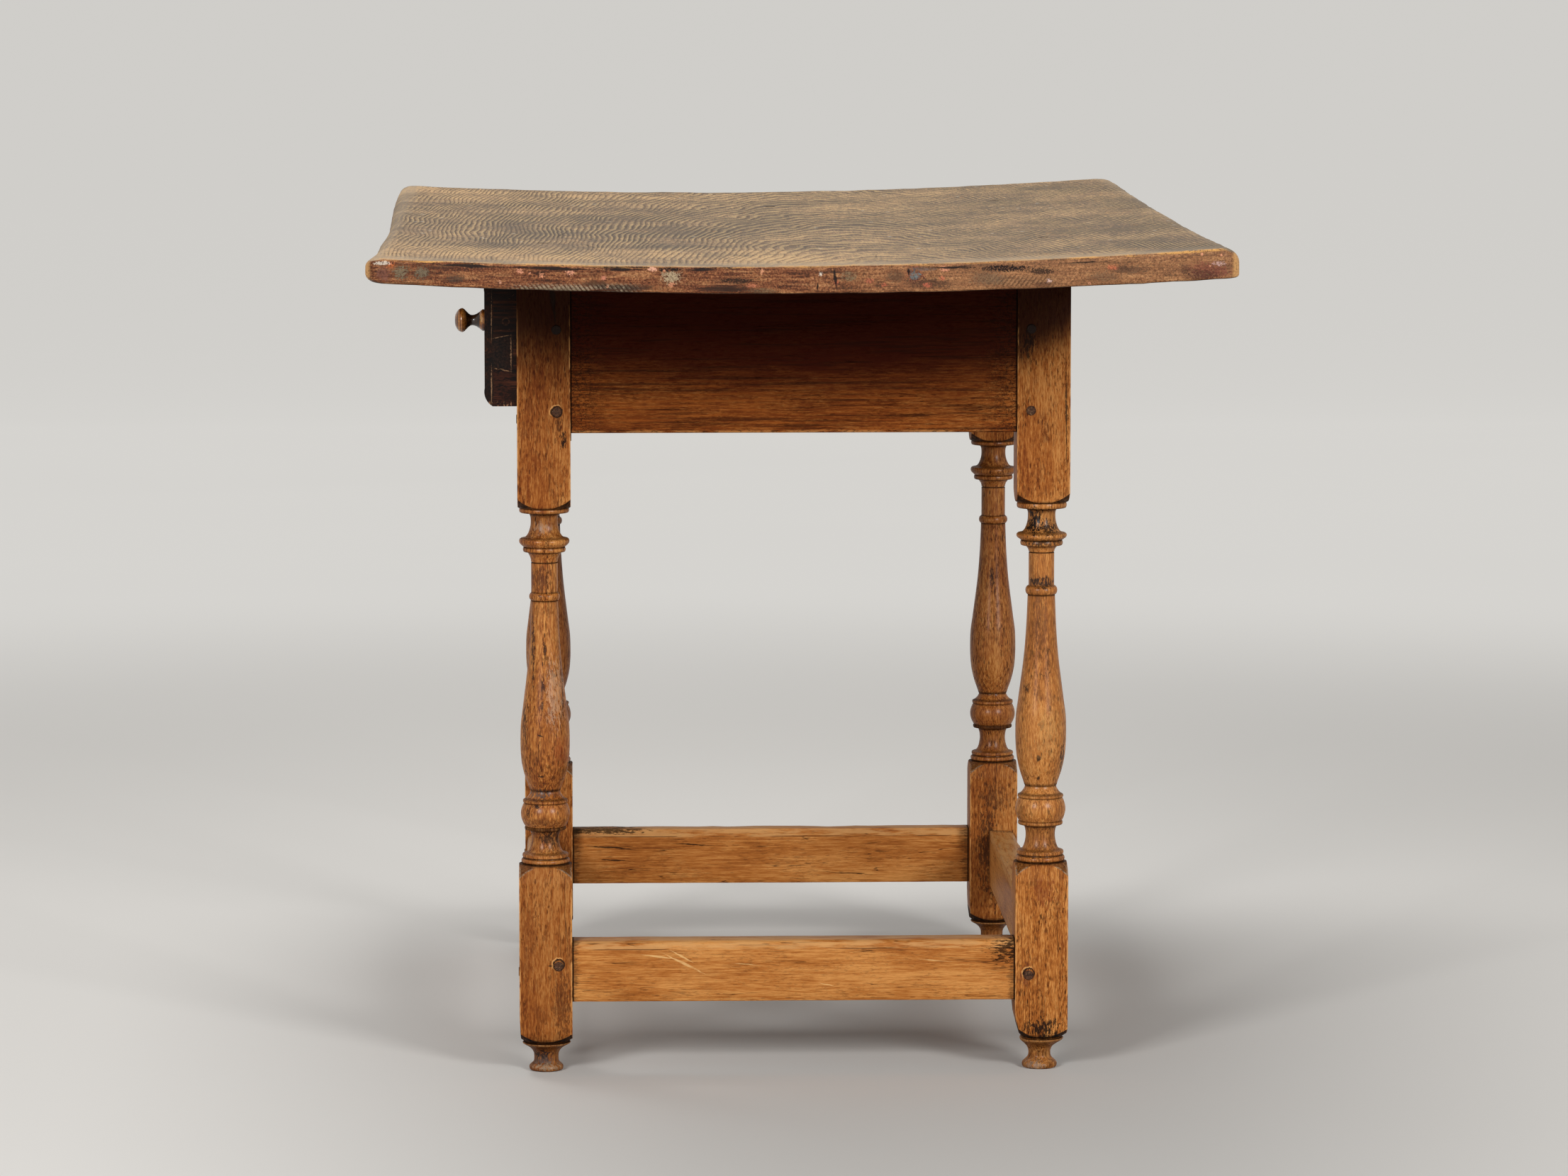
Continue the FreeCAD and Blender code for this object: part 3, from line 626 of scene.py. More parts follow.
def legMarks(corner, centre):
    shape = legShapes[corner]
    upper, turning, lower, shadowFrom, slant = legShades[corner]
    cx, cy = centre[0] * 1000, centre[1] * 1000
    square, block, floorOf, cap = shape["square"], shape["block"], shape["footShoulder"][1], shape["cap"]

    def extra(wood):
        look = mapleLook
        across, deep = wood.x - cx, wood.y - cy
        flat = abs(across).larger(abs(deep)).rise(square - 0.8, square - 0.2)
        up, down = wood.z.rise(480, 520), wood.z.rise(200, 180)
        # the upper part redder and darker: its own colour, and partly painted shade under the top
        wood.over(look["red"], up * max(upper, 0) * 3)
        wood.over(look["dark" if turning > 0 else "light"], (1 - up) * (1 - down) * abs(turning) * 5)
        wood.over(look["dark"], down * max(lower, 0) * 3)
        # painted shadow of the top board over the upper block, its edge wavy and slanting
        shadowLine = wood.z - across * slant + wood.noise(9, 40, 25, 3) * 16 - 8
        wood.over(look["boardShadow"], shadowLine.rise(*shadowFrom) * 0.93)
        rag = wood.noise(5, 9, 21, 4)
        scuff = wood.noise(1.7, 5, 24, 5, 0.72)
        marks = [(floorOf + 1.4, 1.4, 0.95), (floorOf + 3.8, 1.4, 0.6), (block - 0.2, 1.6, 0.9)]
        marks += [(shape[name][place] + rise, reach, strength) for name, place, rise, reach, strength in (
            ("ring", 1, 0.3, 1.2, 0.9), ("fillet", 2, 0.8, 1.8, 0.55), ("plate", 1, -0.3, 2.4, 0.8),
            ("plate", 2, 0, 1, 0.85), ("ball", 1, 0, 1, 0.8), ("lip", 1, 0.6, 1.8, 0.75),
            ("neck", 1, 0.4, 2.2, 1), ("head", 1, 0, 1.2, 0.85), ("bead", 1, 0, 1, 0.7),
            ("shaft", 1, -0.5, 1, 1), ("flare", 1, 0, 1.1, 0.85), ("discFillet", 1, 0, 1, 0.9),
            ("disc", 1, 0.8, 2.2, 0.6), ("cap", 1, -0.6, 2.6, 0.85), ("cap", 2, 0.4, 1.8, 0.95))]
        lines = heightMarks(wood, marks) * (rag * 1.3 + scuff * 0.8 - 0.1).smaller(1)
        # darker, in ragged patches, on the turned shoulders of the blocks
        shoulders = wood.z.band(cap[2], cap[2] + shape["capShoulder"][1] + 1, 1) * 0.95
        heads = wood.z.band(block - shape["headShoulder"][1], block, 1) * 0.6
        feet = wood.z.band(floorOf, floorOf + 12, 1) * 1.0
        dirt = (shoulders + heads + feet) * (1 - flat) * (rag * 1.0 + scuff * 0.8).smaller(1)
        coves = (wood.z.band(shape["fillet"][2], shape["plate"][1], 2) * 0.45
                 + wood.z.band(shape["disc"][1], cap[1], 2) * 0.5)
        low = wood.z.rise(40, 24) * (rag * 1.4 + scuff - 0.75).larger(0) * 0.8
        worked = (rag * 1.2 + scuff * 1.4 - 0.8).larger(0)
        wood.grime = wood.grime.larger(lines).larger(dirt).larger((coves * worked).smaller(0.9)).larger(low)
        front = wood.facing[1].rise(-0.05, -0.35)
        wavy = across + (scuff - 0.5) * 5
        for mark in legCracks[corner]:
            crack = wood.stroke(wavy, wood.z, mark) * front
            wood.over(look["soot"], crack.smaller(1) * 0.85)
            wood.height = wood.height - crack * 1.2
        rough = scuff * 3 - 1.95
        for place, (wide, high), tint, amount in legSpots[corner]:
            near = wood.spot(across, wood.z, place, (wide * 1.2, high * 1.2), 0.8)
            wood.over(tint, wood.ragged(near, rough) * front * amount)
        for x, z, radius in shape["pegs"]:
            # painted shade as a dark line round each peg, and a painted highlight on the lip above it
            far = ((across - x) ** 2 + (wood.z - z) ** 2) ** 0.5 + (scuff - 0.5) * 4
            wood.over(look["soot"], far.band(radius - 0.6, radius + 0.9, 0.4) * front * 0.95)
            lip = far.band(radius + 0.9, radius + 1.9, 0.4) * (wood.z - z - across + x).rise(0, 4)
            wood.over(look["arris"], lip * front * 0.85)
        # a painted highlight, with some wear: a pale line along the arched tops of the lower blocks' flats
        arch = abs(across).larger(abs(deep)).band(square - 1.5, square - 0.4, 0.5)
        arch = arch * wood.z.band(block - shape["headShoulder"][1] + 1, block - 2.5, 1)
        wood.over(look["archWearAndGlint"], arch * scuff.rise(0.42, 0.54) * 0.75)
        # paler edges of the blocks: wear, and a painted highlight along the arrises
        edges = abs(across).smaller(abs(deep)).rise(square - 1.4, square - 0.7)
        edges = edges * wood.noise(1.8, 12, 12, 3).rise(0.42, 0.55) * wood.z.rise(690, 620)
        wood.over(look["arris"], edges * 0.7)
        wood.grime = wood.grime * (1 - edges * 0.7)
        rim = floorOf - 1.6
        wood.over(look["arris"], wood.z.band(rim - 1.6, rim + 0.8, 0.5) * scuff.rise(0.42, 0.54) * 0.6)
        return 1 - flat * 0.85
    return extra


print("legs")
for number, corner in enumerate(legShapes):
    low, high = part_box("leg_" + corner)
    centre = ((low[0] + high[0]) / 2, (low[1] + high[1]) / 2)
    finish = mapleFinish("maple_leg_" + corner, "Z", 3.1 * number + 1, extra=legMarks(corner, centre))
    makeLeg(corner, centre, legShapes[corner], finish)


# Stretchers: sawn bars between the legs, the outer upper edge worn round by feet

stretcherLook = {
    "arris": 0.0012, "wornEdge": 0.0065, "backEdge": 0.004, "into": 0.003, "cut": 0.014, "smooth": 38,
    "legFaces": (0.194, 0.30175), "shoulders": ((192.8, 194.4), (300.6, 302.2)),
    "ends": ((176, 194), (270, 300)), "rubbed": 0.012, "wear": 0.0022,
    "scratches": [
        (-120, 109, -72, 85, 1.6), (-112, 111, -84, 96, 1.1), (-140, 106, -96, 101, 0.9),
        (20, 80, 38, 76, 0.8), (-60, 98, -20, 94, 0.6), (90, 101, 150, 97, 0.6),
    ],
    "splits": [
        (-192, 101, -120, 97, 1.4), (-176, 88, -128, 84, 0.9), (-110, 104, -40, 101, 0.9),
        (40, 74, 110, 71, 0.8),
    ],
    "sides": (("front", 23, -0.035), ("back", 26, -0.02), ("right", 29, -0.05), ("left", 32, 0.0)),
}


def stretcherMarks(side, along):
    look = stretcherLook

    def extra(wood):
        length = abs((wood.x, wood.y)[along])
        rag = wood.noise(4, 26, 21, 4)
        scuff = wood.noise(1.6, 6, 24, 5, 0.72)
        band = (wood.z + rag * 5).rise(111.5, 113.5)          # the rubbed upper band
        wood.over((214, 160, 100), band * rag.rise(0.36, 0.58) * 0.7)
        crack = wood.z.band(109.4, 110.1, 0.35) * wood.noise(6, 60, 22, 2).rise(0.47, 0.55)
        wood.over(mapleLook["fleck"], crack * 0.8)
        stain = (length.rise(*look["ends"][along]) + scuff * 1.8 + rag * 0.8 - 2).rise(0.0, 0.3)
        wood.over(mapleLook["soot"], stain * 0.55)
        wood.grime = wood.grime.larger(length.band(*look["shoulders"][along], 0.4) * 0.9)
        if side == "front":
            for mark in look["scratches"]:
                scratch = wood.stroke(wood.x, wood.z + (rag - 0.5) * 3, mark)
                wood.over((232, 184, 120), scratch * rag.rise(0.3, 0.5) * 0.85)
            spill = wood.spot(wood.x, wood.z, (188, 107), (17, 12), 0.8)
            wood.grime = wood.grime.larger(wood.ragged(spill, scuff * 3 - 1.95) * 0.85)
        if side == "back":
            top = wood.z.rise(105, 116) * wood.x.rise(-70, -150).larger(0.35)
            wood.grime = wood.grime.larger((top + scuff * 1.8 + rag * 0.6 - 1.95).rise(0.0, 0.25) * 0.85)
            for mark in look["splits"]:
                split = wood.stroke(wood.x, wood.z + (rag - 0.5) * 6, mark)
                wood.over(mapleLook["grime"], split.smaller(1) * 0.9)
        return 0.25
    return extra


def makeStretcher(side, seed, shade):
    look = stretcherLook
    name = "stretcher_" + side
    low, high = [Vector(corner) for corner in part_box(name)]
    along = 0 if side in ("front", "back") else 1
    other = 1 - along
    high[along] = look["legFaces"][along] + look["into"]
    low[along] = -high[along]
    face = (low if side in ("front", "left") else high)[other]
    bpy.ops.object.select_all(action="DESELECT")
    bpy.ops.mesh.primitive_cube_add(size=1, location=(0, 0, 0))
    bar = bpy.context.active_object
    bar.name = bar.data.name = name + "_worn"
    bpy.ops.object.mode_set(mode="EDIT")
    bpy.ops.mesh.select_all(action="SELECT")
    bpy.ops.transform.resize(value=tuple(high - low))
    bpy.ops.transform.translate(value=tuple((high + low) / 2))
    selectEdges(bar, lambda a, b: abs(a[other] - face) < 0.0001 and abs(b[other] - face) < 0.0001
                and min(a.z, b.z) > high.z - 0.0001)
    bpy.ops.mesh.bevel(offset=look["backEdge" if side == "back" else "wornEdge"], segments=5, affect="EDGES")
    selectEdges(bar, lambda a, b: abs(a[along] - b[along]) > 0.1 and (
        max(a.z, b.z) < low.z + 0.0001
        or (min(a.z, b.z) > high.z - 0.0001 and abs(a[other] - face) > 0.01)))
    bpy.ops.mesh.bevel(offset=look["arris"], segments=2, affect="EDGES")
    slicedAlong(along, low[along], high[along], int((high[along] - low[along]) / look["cut"]))
    slicedAlong(2, low.z, high.z, 4)
    bpy.ops.object.mode_set(mode="OBJECT")

    def rubbed(p):
        near = max(high.z - p.z, abs(p[other] - face)) < look["rubbed"]
        return 1.0 if near else 0.25
    weathered(bar, name + "_wear", rubbed, 0.03, 2, strength=look["wear"], mid_level=0.85)
    bar.data.materials.append(mapleFinish("maple_" + name, "XY"[along], seed, shade,
                                          stretcherMarks(side, along), speck=0.4, run=2.2))
    bpy.ops.object.shade_smooth_by_angle(angle=math.radians(look["smooth"]))
    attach(bar, "frame")
    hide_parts(name)


for side, seed, shade in stretcherLook["sides"]:
    makeStretcher(side, seed, shade)
print("stretchers")


def dress(names, finish):
    for name in names:
        nodes[name].data.materials.clear()
        nodes[name].data.materials.append(finish)


# Aprons and the rail: CAD pieces under a red varnish; on the aprons the top's shadow is painted dark over the
# upper part, fading towards the lower edge

def apronMarks(wood):
    rag = wood.noise(7, 34, 22, 4)
    scuff = wood.noise(1.5, 5, 24, 5, 0.72)
    # painted shadow of the overhanging top: the upper part darkens to near black, less towards the ends
    deep = (wood.z + rag * 30 - 12 - (wood.x / 190) ** 2 * 10).rise(580, 632)
    wood.over((112, 52, 16), 0.5)
    wood.over((58, 12, 3), deep * 0.94)
    lanes = wood.noise(2.6, 90, 25, 5, 0.66)
    wood.over((40, 15, 5), lanes.rise(0.52, 0.62) * 0.6)
    wood.over((164, 88, 32), lanes.rise(0.47, 0.38) * (1 - deep) * 0.5)
    joint = abs(wood.x).rise(150, 190).larger(abs(wood.y).rise(290, 302) * abs(wood.x).rise(225, 238))
    crazing = abs(wood.noise(5, 5, 26, 3) - 0.5).rise(0.03, 0.008)
    wood.over(mapleLook["grime"], joint * (crazing + scuff.rise(0.5, 0.62)).smaller(1) * 0.75)
    wood.over(mapleLook["arris"], wood.z.rise(566.5, 564.5) * rag.rise(0.42, 0.55) * 0.4)
    wood.over(mapleLook["grime"], wood.z.rise(569, 565) * scuff.rise(0.52, 0.6) * 0.7)
    wood.grime = wood.grime.larger(abs(wood.x).band(192.6, 194.2, 0.5) * 0.8)
    return 0.0


dress(["apron_front", "apron_back"], mapleFinish("maple_apron", "X", 17, 0.05, apronMarks, 0.0, 0.05))
dress(["apron_right"], mapleFinish("maple_apron_side", "Y", 19, 0.03, apronMarks, 0.0, 0.06))


def pegFinish(name, light, dark, rim, seed):
    # end grain, flecked with dirt; the upper pegs carry a painted shadow of the top
    wood = Finish(name, "Z", seed)
    rings = wood.noise(1.5, 1.5, 1, 5, 0.75)
    wood.colour = rings.ramp((0.40, dark), (0.50, light), (0.56, dark), (0.64, rim))
    wood.over(dark, wood.noise(2.5, 2.5, 2, 3).rise(0.5, 0.6) * 0.7)
    # painted shadow of the top: dark from about 610 mm up to the board
    wood.over((20, 9, 5), wood.z.rise(610, 645) * (1 - wood.z.rise(700, 710)) * 0.9)
    return wood.done(0.45 + rings * 0.3, rings, 0.3, 0.0, 0.25, 0.15)


dress(["pegs_front", "pegs_back", "pegs_left", "pegs_right"],
      pegFinish("peg_end_grain", (104, 66, 44), (36, 24, 18), (150, 112, 80), 41))
dress(["top_pins"], pegFinish("top_pin_end_grain", (120, 98, 74), (74, 58, 44), (140, 118, 92), 43))

dovetailLook = {
    "lines": [(-262.5, 690, -262.6, 632, 0.6), (-266.6, 641.6, -243.6, 646.4, 0.6),
              (-245.6, 652, -245.7, 608, 0.8), (-264.4, 617.6, -242.4, 613.3, 0.8),
              (-262.7, 626, -262.9, 576, 0.8)],
    "ring": (-250.2, 657.6, 2.9), "line": (196, 152, 112), "pin": (52, 34, 26), "chip": (196, 146, 106),
}


def dovetailMarks(wood, scuff):
    # the joint of drawer front and side shows as pale, broken lines on the outer face
    look = dovetailLook
    front = wood.facing[1].rise(-0.4, -0.7)
    broken = scuff.rise(0.42, 0.50)
    patch = wood.x.band(-261, -246, 2) * wood.z.rise(617, 613) * front
    wood.over((74, 38, 26), patch * scuff.rise(0.44, 0.56) * 0.8)
    pin = wood.x.band(-262, -246, 1) * wood.z.band(616, 643, 1.5) * front
    wood.over(look["pin"], pin * scuff.rise(0.46, 0.58) * 0.7)
    wavy = (wood.x + (scuff - 0.5) * 3, wood.z + (scuff - 0.5) * 3)
    for mark in look["lines"]:
        wood.over(look["line"], wood.stroke(*wavy, mark).smaller(1) * broken * front * 0.8)
    x, z, radius = look["ring"]
    far = ((wood.x - x) ** 2 + (wood.z - z) ** 2) ** 0.5
    wood.over((92, 60, 40), far.band(radius - 0.5, radius + 0.5, 0.4) * broken * front * 0.8)
    chips = wood.z.rise(589, 585) * wood.flecks((2, 9, 7), 5, 3).rise(0.57, 0.61) * front
    wood.over(look["chip"], chips * 0.8)


def darkFinish(name, along, seed):
    # near-black old finish, rubbed through to red wood along its edges
    wood = Finish(name, along, seed)
    streak = wood.noise(2.2, 50, 1, 5, 0.66)
    patch = wood.noise(16, 40, 2, 5, 0.62)
    wood.colour = (streak * 0.6 + patch * 0.6 - 0.1).ramp(
        (0.42, (16, 9, 7)), (0.56, (44, 25, 17)), (0.70, (92, 52, 32)))
    scuff = wood.noise(1.8, 5, 3, 5, 0.72)
    wood.over((128, 76, 44), scuff.rise(0.62, 0.68) * 0.7)
    # the rounded edges are worn through
    worn = abs(wood.facing[2]).band(0.25, 0.92, 0.12).larger(abs(wood.facing[1]).band(0.2, 0.93, 0.06))
    wood.over((134, 78, 48), worn * (scuff * 1.6 + patch - 0.9).rise(0.25, 0.55) * 0.8)
    dovetailMarks(wood, scuff)
    return wood.done(0.42 + patch * 0.3, streak * 0.4 + scuff * 0.4, 0.22, 0.03, 0.25, 0.15)


def boardFinish(name, along, seed, light, dark):
    # unfinished inner boards, browned with age
    wood = Finish(name, along, seed)
    bands = wood.noise(5, 220, 1, 4, 0.55, 0.4)
    stain = wood.noise(60, 120, 2, 4)
    fibre = wood.noise(0.8, 22, 3, 2)
    wood.colour = (bands * 0.7 + stain * 0.35 + fibre * 0.1).ramp((0.38, dark), (0.70, light))
    return wood.done(0.6 + bands * 0.2, bands + fibre * 0.5, 0.25)


def drawerSideFinish(name, along, seed):
    # the outer ends of the sides are as black as the front, further in they are bare
    wood = Finish(name, along, seed)
    streak = wood.noise(2.4, 50, 1, 5, 0.66)
    scuff = wood.noise(1.5, 4, 4, 5, 0.72)
    dark = (streak * 0.8 + wood.noise(14, 30, 2, 4) * 0.4 - 0.1).ramp(
        (0.42, (18, 9, 7)), (0.54, (44, 24, 16)), (0.66, (96, 54, 36)))
    bare = streak.ramp((0.38, (80, 48, 26)), (0.62, (124, 80, 44)))
    wood.colour = mixed(dark, bare, (wood.x + wood.noise(20, 20, 3, 3) * 30).rise(-212, -186))
    wood.over((150, 104, 72), scuff.rise(0.64, 0.69) * 0.7)
    dovetailMarks(wood, scuff)
    return wood.done(0.42 + streak * 0.3, streak * 0.6 + scuff * 0.5, 0.3, 0.05, 0.25, 0.12)


def ironFinish(name):
    metal = Finish(name, "Z", 31)
    rust = metal.noise(0.7, 0.7, 1, 5, 0.7)
    metal.colour = rust.ramp((0.35, (30, 26, 25)), (0.6, (66, 42, 30)), (0.75, (104, 62, 38)))
    return metal.done(0.6 + rust * 0.25, rust, 0.12)


dress(["drawer_front"], darkFinish("old_dark_finish", "Y", 47))
dress(["drawer_rail"], darkFinish("old_dark_rail", "Y", 49))
dress(["drawer_side_front", "drawer_side_back"], drawerSideFinish("drawer_side_wood", "X", 61))
dress(["drawer_bottom"], drawerSideFinish("drawer_bottom_wood", "Y", 63))
dress(["drawer_back"], boardFinish("aged_board_y", "Y", 59, (150, 108, 66), (100, 68, 40)))
dress(["drawer_runner_front", "drawer_runner_back", "drawer_guide_front", "drawer_guide_back"],
      boardFinish("aged_board_x", "X", 53, (146, 104, 62), (98, 66, 38)))
dress(["runner_nails", "drawer_nails"], ironFinish("wrought_iron"))


# The knob: one small turning, polished by hands

knobLook = {
    "profile": [(4.2, 0.3), (7.4, 1.7), (9.8, 3.6), (11.1, 6.4), (10.6, 8.3), (9, 10), (6.9, 12),
                (5.2, 14.2), (4.8, 16.6), (5.7, 19.6), (7.6, 22.6), (9.5, 24.8), (10.3, 26.6)],
    "base": 10.4, "length": 31.4, "shank": 5, "tail": 6, "sides": 56, "smooth": 50,
}


def knobFinish():
    # amber where hands have polished it, nearly black in the waist
    wood = Finish("knob_amber_wood", "X", 67)
    inward = wood.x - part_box("drawer_knob")[0][0] * 1000
    mottle = wood.noise(9, 12, 2, 4, 0.6)
    rings = wood.flecks((1.5, 26, 26), 1, 4)                 # lines left by the lathe
    wood.colour = (rings * 0.7 + mottle * 0.5 - 0.1).ramp(
        (0.40, (78, 36, 12)), (0.48, (150, 86, 30)), (0.56, (196, 128, 62)), (0.64, (232, 186, 124)))
    dark = inward.band(10.8, 22.6, 2) + inward.band(2, 3.4, 0.8) * 0.5 + rings * 1.2 + mottle - 1.35
    wood.over((26, 13, 8), dark.rise(0.0, 0.35) * 0.93)
    fleck = wood.noise(0.9, 2.4, 4, 3).rise(0.56, 0.62)
    wood.over((40, 20, 10), fleck * 0.5)
    return wood.done(0.2 + mottle * 0.12, mottle + fleck * 0.3, 0.08, 0.7, 0.1, 0.3)


def makeKnob():
    look = knobLook
    low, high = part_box("drawer_knob")
    middle = ((low[1] + high[1]) / 2, (low[2] + high[2]) / 2)
    line = Outline(0, 0)                                   # heights count from the tip inwards
    line.through(*look["profile"])
    line.bead(look["base"], look["base"] - 0.8, look["length"] - 0.3, 4)
    line.to(look["shank"], look["length"])
    line.to(look["shank"], look["length"] + look["tail"])
    line.to(0, look["length"] + look["tail"])
    points = [(low[0] + height / 1000, middle[0] + radius / 1000, middle[1])
              for radius, height in line.points]
    knob = turned("drawer_knob_turned", points, (0, *middle), (1, 0, 0), look["sides"])
    bpy.ops.object.mode_set(mode="OBJECT")
    knob.data.materials.append(knobFinish())
    onlySelect(knob)
    bpy.ops.object.shade_smooth_by_angle(angle=math.radians(look["smooth"]))
    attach(knob, "drawer")
    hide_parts("drawer_knob")


makeKnob()
print("aprons, pegs, drawer and knob")


# The top: one wide softwood plank, cupped, with a wavy left side, a hollow right side and
# rounded corners. The sides are (along, across) in millimetres, seen from above.

topLook = {
    "left": [(-612, -361.8), (-560, -359.4), (-505, -357.6), (-420, -357.5), (-343, -358.1), (-250, -357.2),
             (-170, -356.9), (-80, -357.8), (13, -359.2), (130, -361.6), (260, -364), (400, -366),
             (520, -367.2), (612, -367.4)],
    "right": [(612, 361.4), (520, 360.4), (374, 358.2), (200, 356.6), (58, 355.6), (-100, 355),
              (-250, 354.8), (-337, 355.1), (-450, 356), (-557, 357.4), (-612, 358.2)],
    "front": -636.7, "back": 636.6,
    "corners": {"front_left": 15, "front_right": 16, "back_left": 21, "back_right": 24},
    "nosing": {"front": 2.6, "left": 12, "right": 16, "back": 6},
    "under": {"front": 2.2, "left": 9.6, "right": 3, "back": 2.2},
    "grid": ((0, -0.368, 0.362, 6), (1, -0.637, 0.637, 11)), "rows": (0.32, 0.5, 0.68), "smooth": 40,
    "rim": (-0.350, 0.345, -0.630, 0.626), "rimReach": 0.012,
    "edgeWear": 0.0014, "faceWear": 0.0009, "cupMost": 0.020,
}


def topOutline():
    look = topLook
    front, back = look["front"], look["back"]
    left, right = [[(x, y) for y, x in look[side]] for side in ("left", "right")]

    def cornerRun(name, x, y, start, steps=6):
        # a quarter circle inside the corner (x, y), that goes on anticlockwise from the angle start
        radius = look["corners"][name]
        middle = (x + radius * (1 if "left" in name else -1), y + radius * (1 if "front" in name else -1))
        turns = [math.radians(start + 90 * number / steps) for number in range(steps + 1)]
        return [(middle[0] + radius * math.cos(turn), middle[1] + radius * math.sin(turn)) for turn in turns]
    run = cornerRun("front_left", left[0][0], front, 180)
    run += [(x, front + 0.5 * math.sin(x * 0.031) + 0.3 * math.sin(x * 0.083)) for x in range(-320, 330, 20)]
    run += cornerRun("front_right", right[-1][0], front, 270)
    run += flowing(right[::-1], 3)
    run += cornerRun("back_right", right[0][0], back, 0)
    run += cornerRun("back_left", left[-1][0], back, 90)
    run += flowing(left[::-1], 3)
    clean = [run[0]]
    for place in run[1:]:
        if math.dist(place, clean[-1]) > 1.0:
            clean.append(place)
    return clean


def makeTop(finish):
    look = topLook
    thick = cupLook["thickness"] / 1000
    board = drawnLine("top_board_worn", [(x / 1000, y / 1000, 0) for x, y in topOutline()])
    bpy.ops.mesh.edge_face_add()
    bpy.ops.mesh.extrude_region_move(TRANSFORM_OT_translate={"value": (0, 0, thick)})
    bpy.ops.mesh.select_all(action="SELECT")
    bpy.ops.mesh.normals_make_consistent(inside=False)
    bpy.ops.object.mode_set(mode="OBJECT")
    weight = board.data.attributes.new("bevel_weight_edge", "FLOAT", "EDGE")
    widest = max(look["nosing"].values())
    points = board.data.vertices
    for edge in board.data.edges:
        a, b = [points[number].co for number in edge.vertices]
        if abs(a.z - b.z) > 0.001:
            continue
        across, along = abs(a.y - b.y) / (a - b).length, abs(a.x - b.x) / (a - b).length
        rounds = look["under"] if a.z < thick / 2 else look["nosing"]
        side = rounds["right" if a.x > 0 else "left"]
        end = rounds["back" if a.y > 0 else "front"]
        weight.data[edge.index].value = (side * across ** 2 + end * along ** 2) / widest
    applied(board, "BEVEL", width=widest / 1000, segments=7, limit_method="WEIGHT",
            use_clamp_overlap=False, offset_type="OFFSET")
    bpy.ops.object.mode_set(mode="EDIT")
    for axis, low, high, cell in look["grid"]:
        slicedAlong(axis, low, high, int((high - low) * 1000 / cell))
    for height in look["rows"]:
        sliced((0, 0, thick * height), (0, 0, 1))
    bpy.ops.object.mode_set(mode="OBJECT")
    print("top cut:", len(board.data.polygons), "faces")

    def nearRim(p):
        left, right, front, back = look["rim"]
        inside = min(p.x - left, right - p.x, p.y - front, back - p.y)
        return 1.0 if inside < 0 else max(0.0, 1.0 - inside / look["rimReach"])
    weathered(board, "edge_wear", nearRim, 0.028, 3, strength=look["edgeWear"], mid_level=0.62)
    weathered(board, "face_wear", lambda p: 0.0 if p.z < thick * 0.6 else 1.0 - nearRim(p), 0.11, 2,
              strength=look["faceWear"], mid_level=0.8, direction="Z")

    def lift(p):
        # the underside and the upper face have cupped about two lines a little apart
        share = max(0.0, min(1.0, p.z / thick))
        return (cupLift(p.x) * (1 - share) + cupLift(p.x, cupLook["faceMiddle"]) * share) / look["cupMost"]
    applied(board, "DISPLACE", strength=look["cupMost"], mid_level=0.0, direction="Z",
            vertex_group=weights(board, "cup", lift))
    bpy.ops.object.mode_set(mode="EDIT")
    bpy.ops.mesh.select_all(action="SELECT")
    bpy.ops.transform.translate(value=(0, 0, cupLook["underside"] / 1000))
    bpy.ops.object.mode_set(mode="OBJECT")
    board.vertex_groups.clear()
    board.data.materials.append(finish)
    onlySelect(board)
    bpy.ops.object.shade_smooth_by_angle(angle=math.radians(look["smooth"]))
    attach(board, "frame")
    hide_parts("top_board")


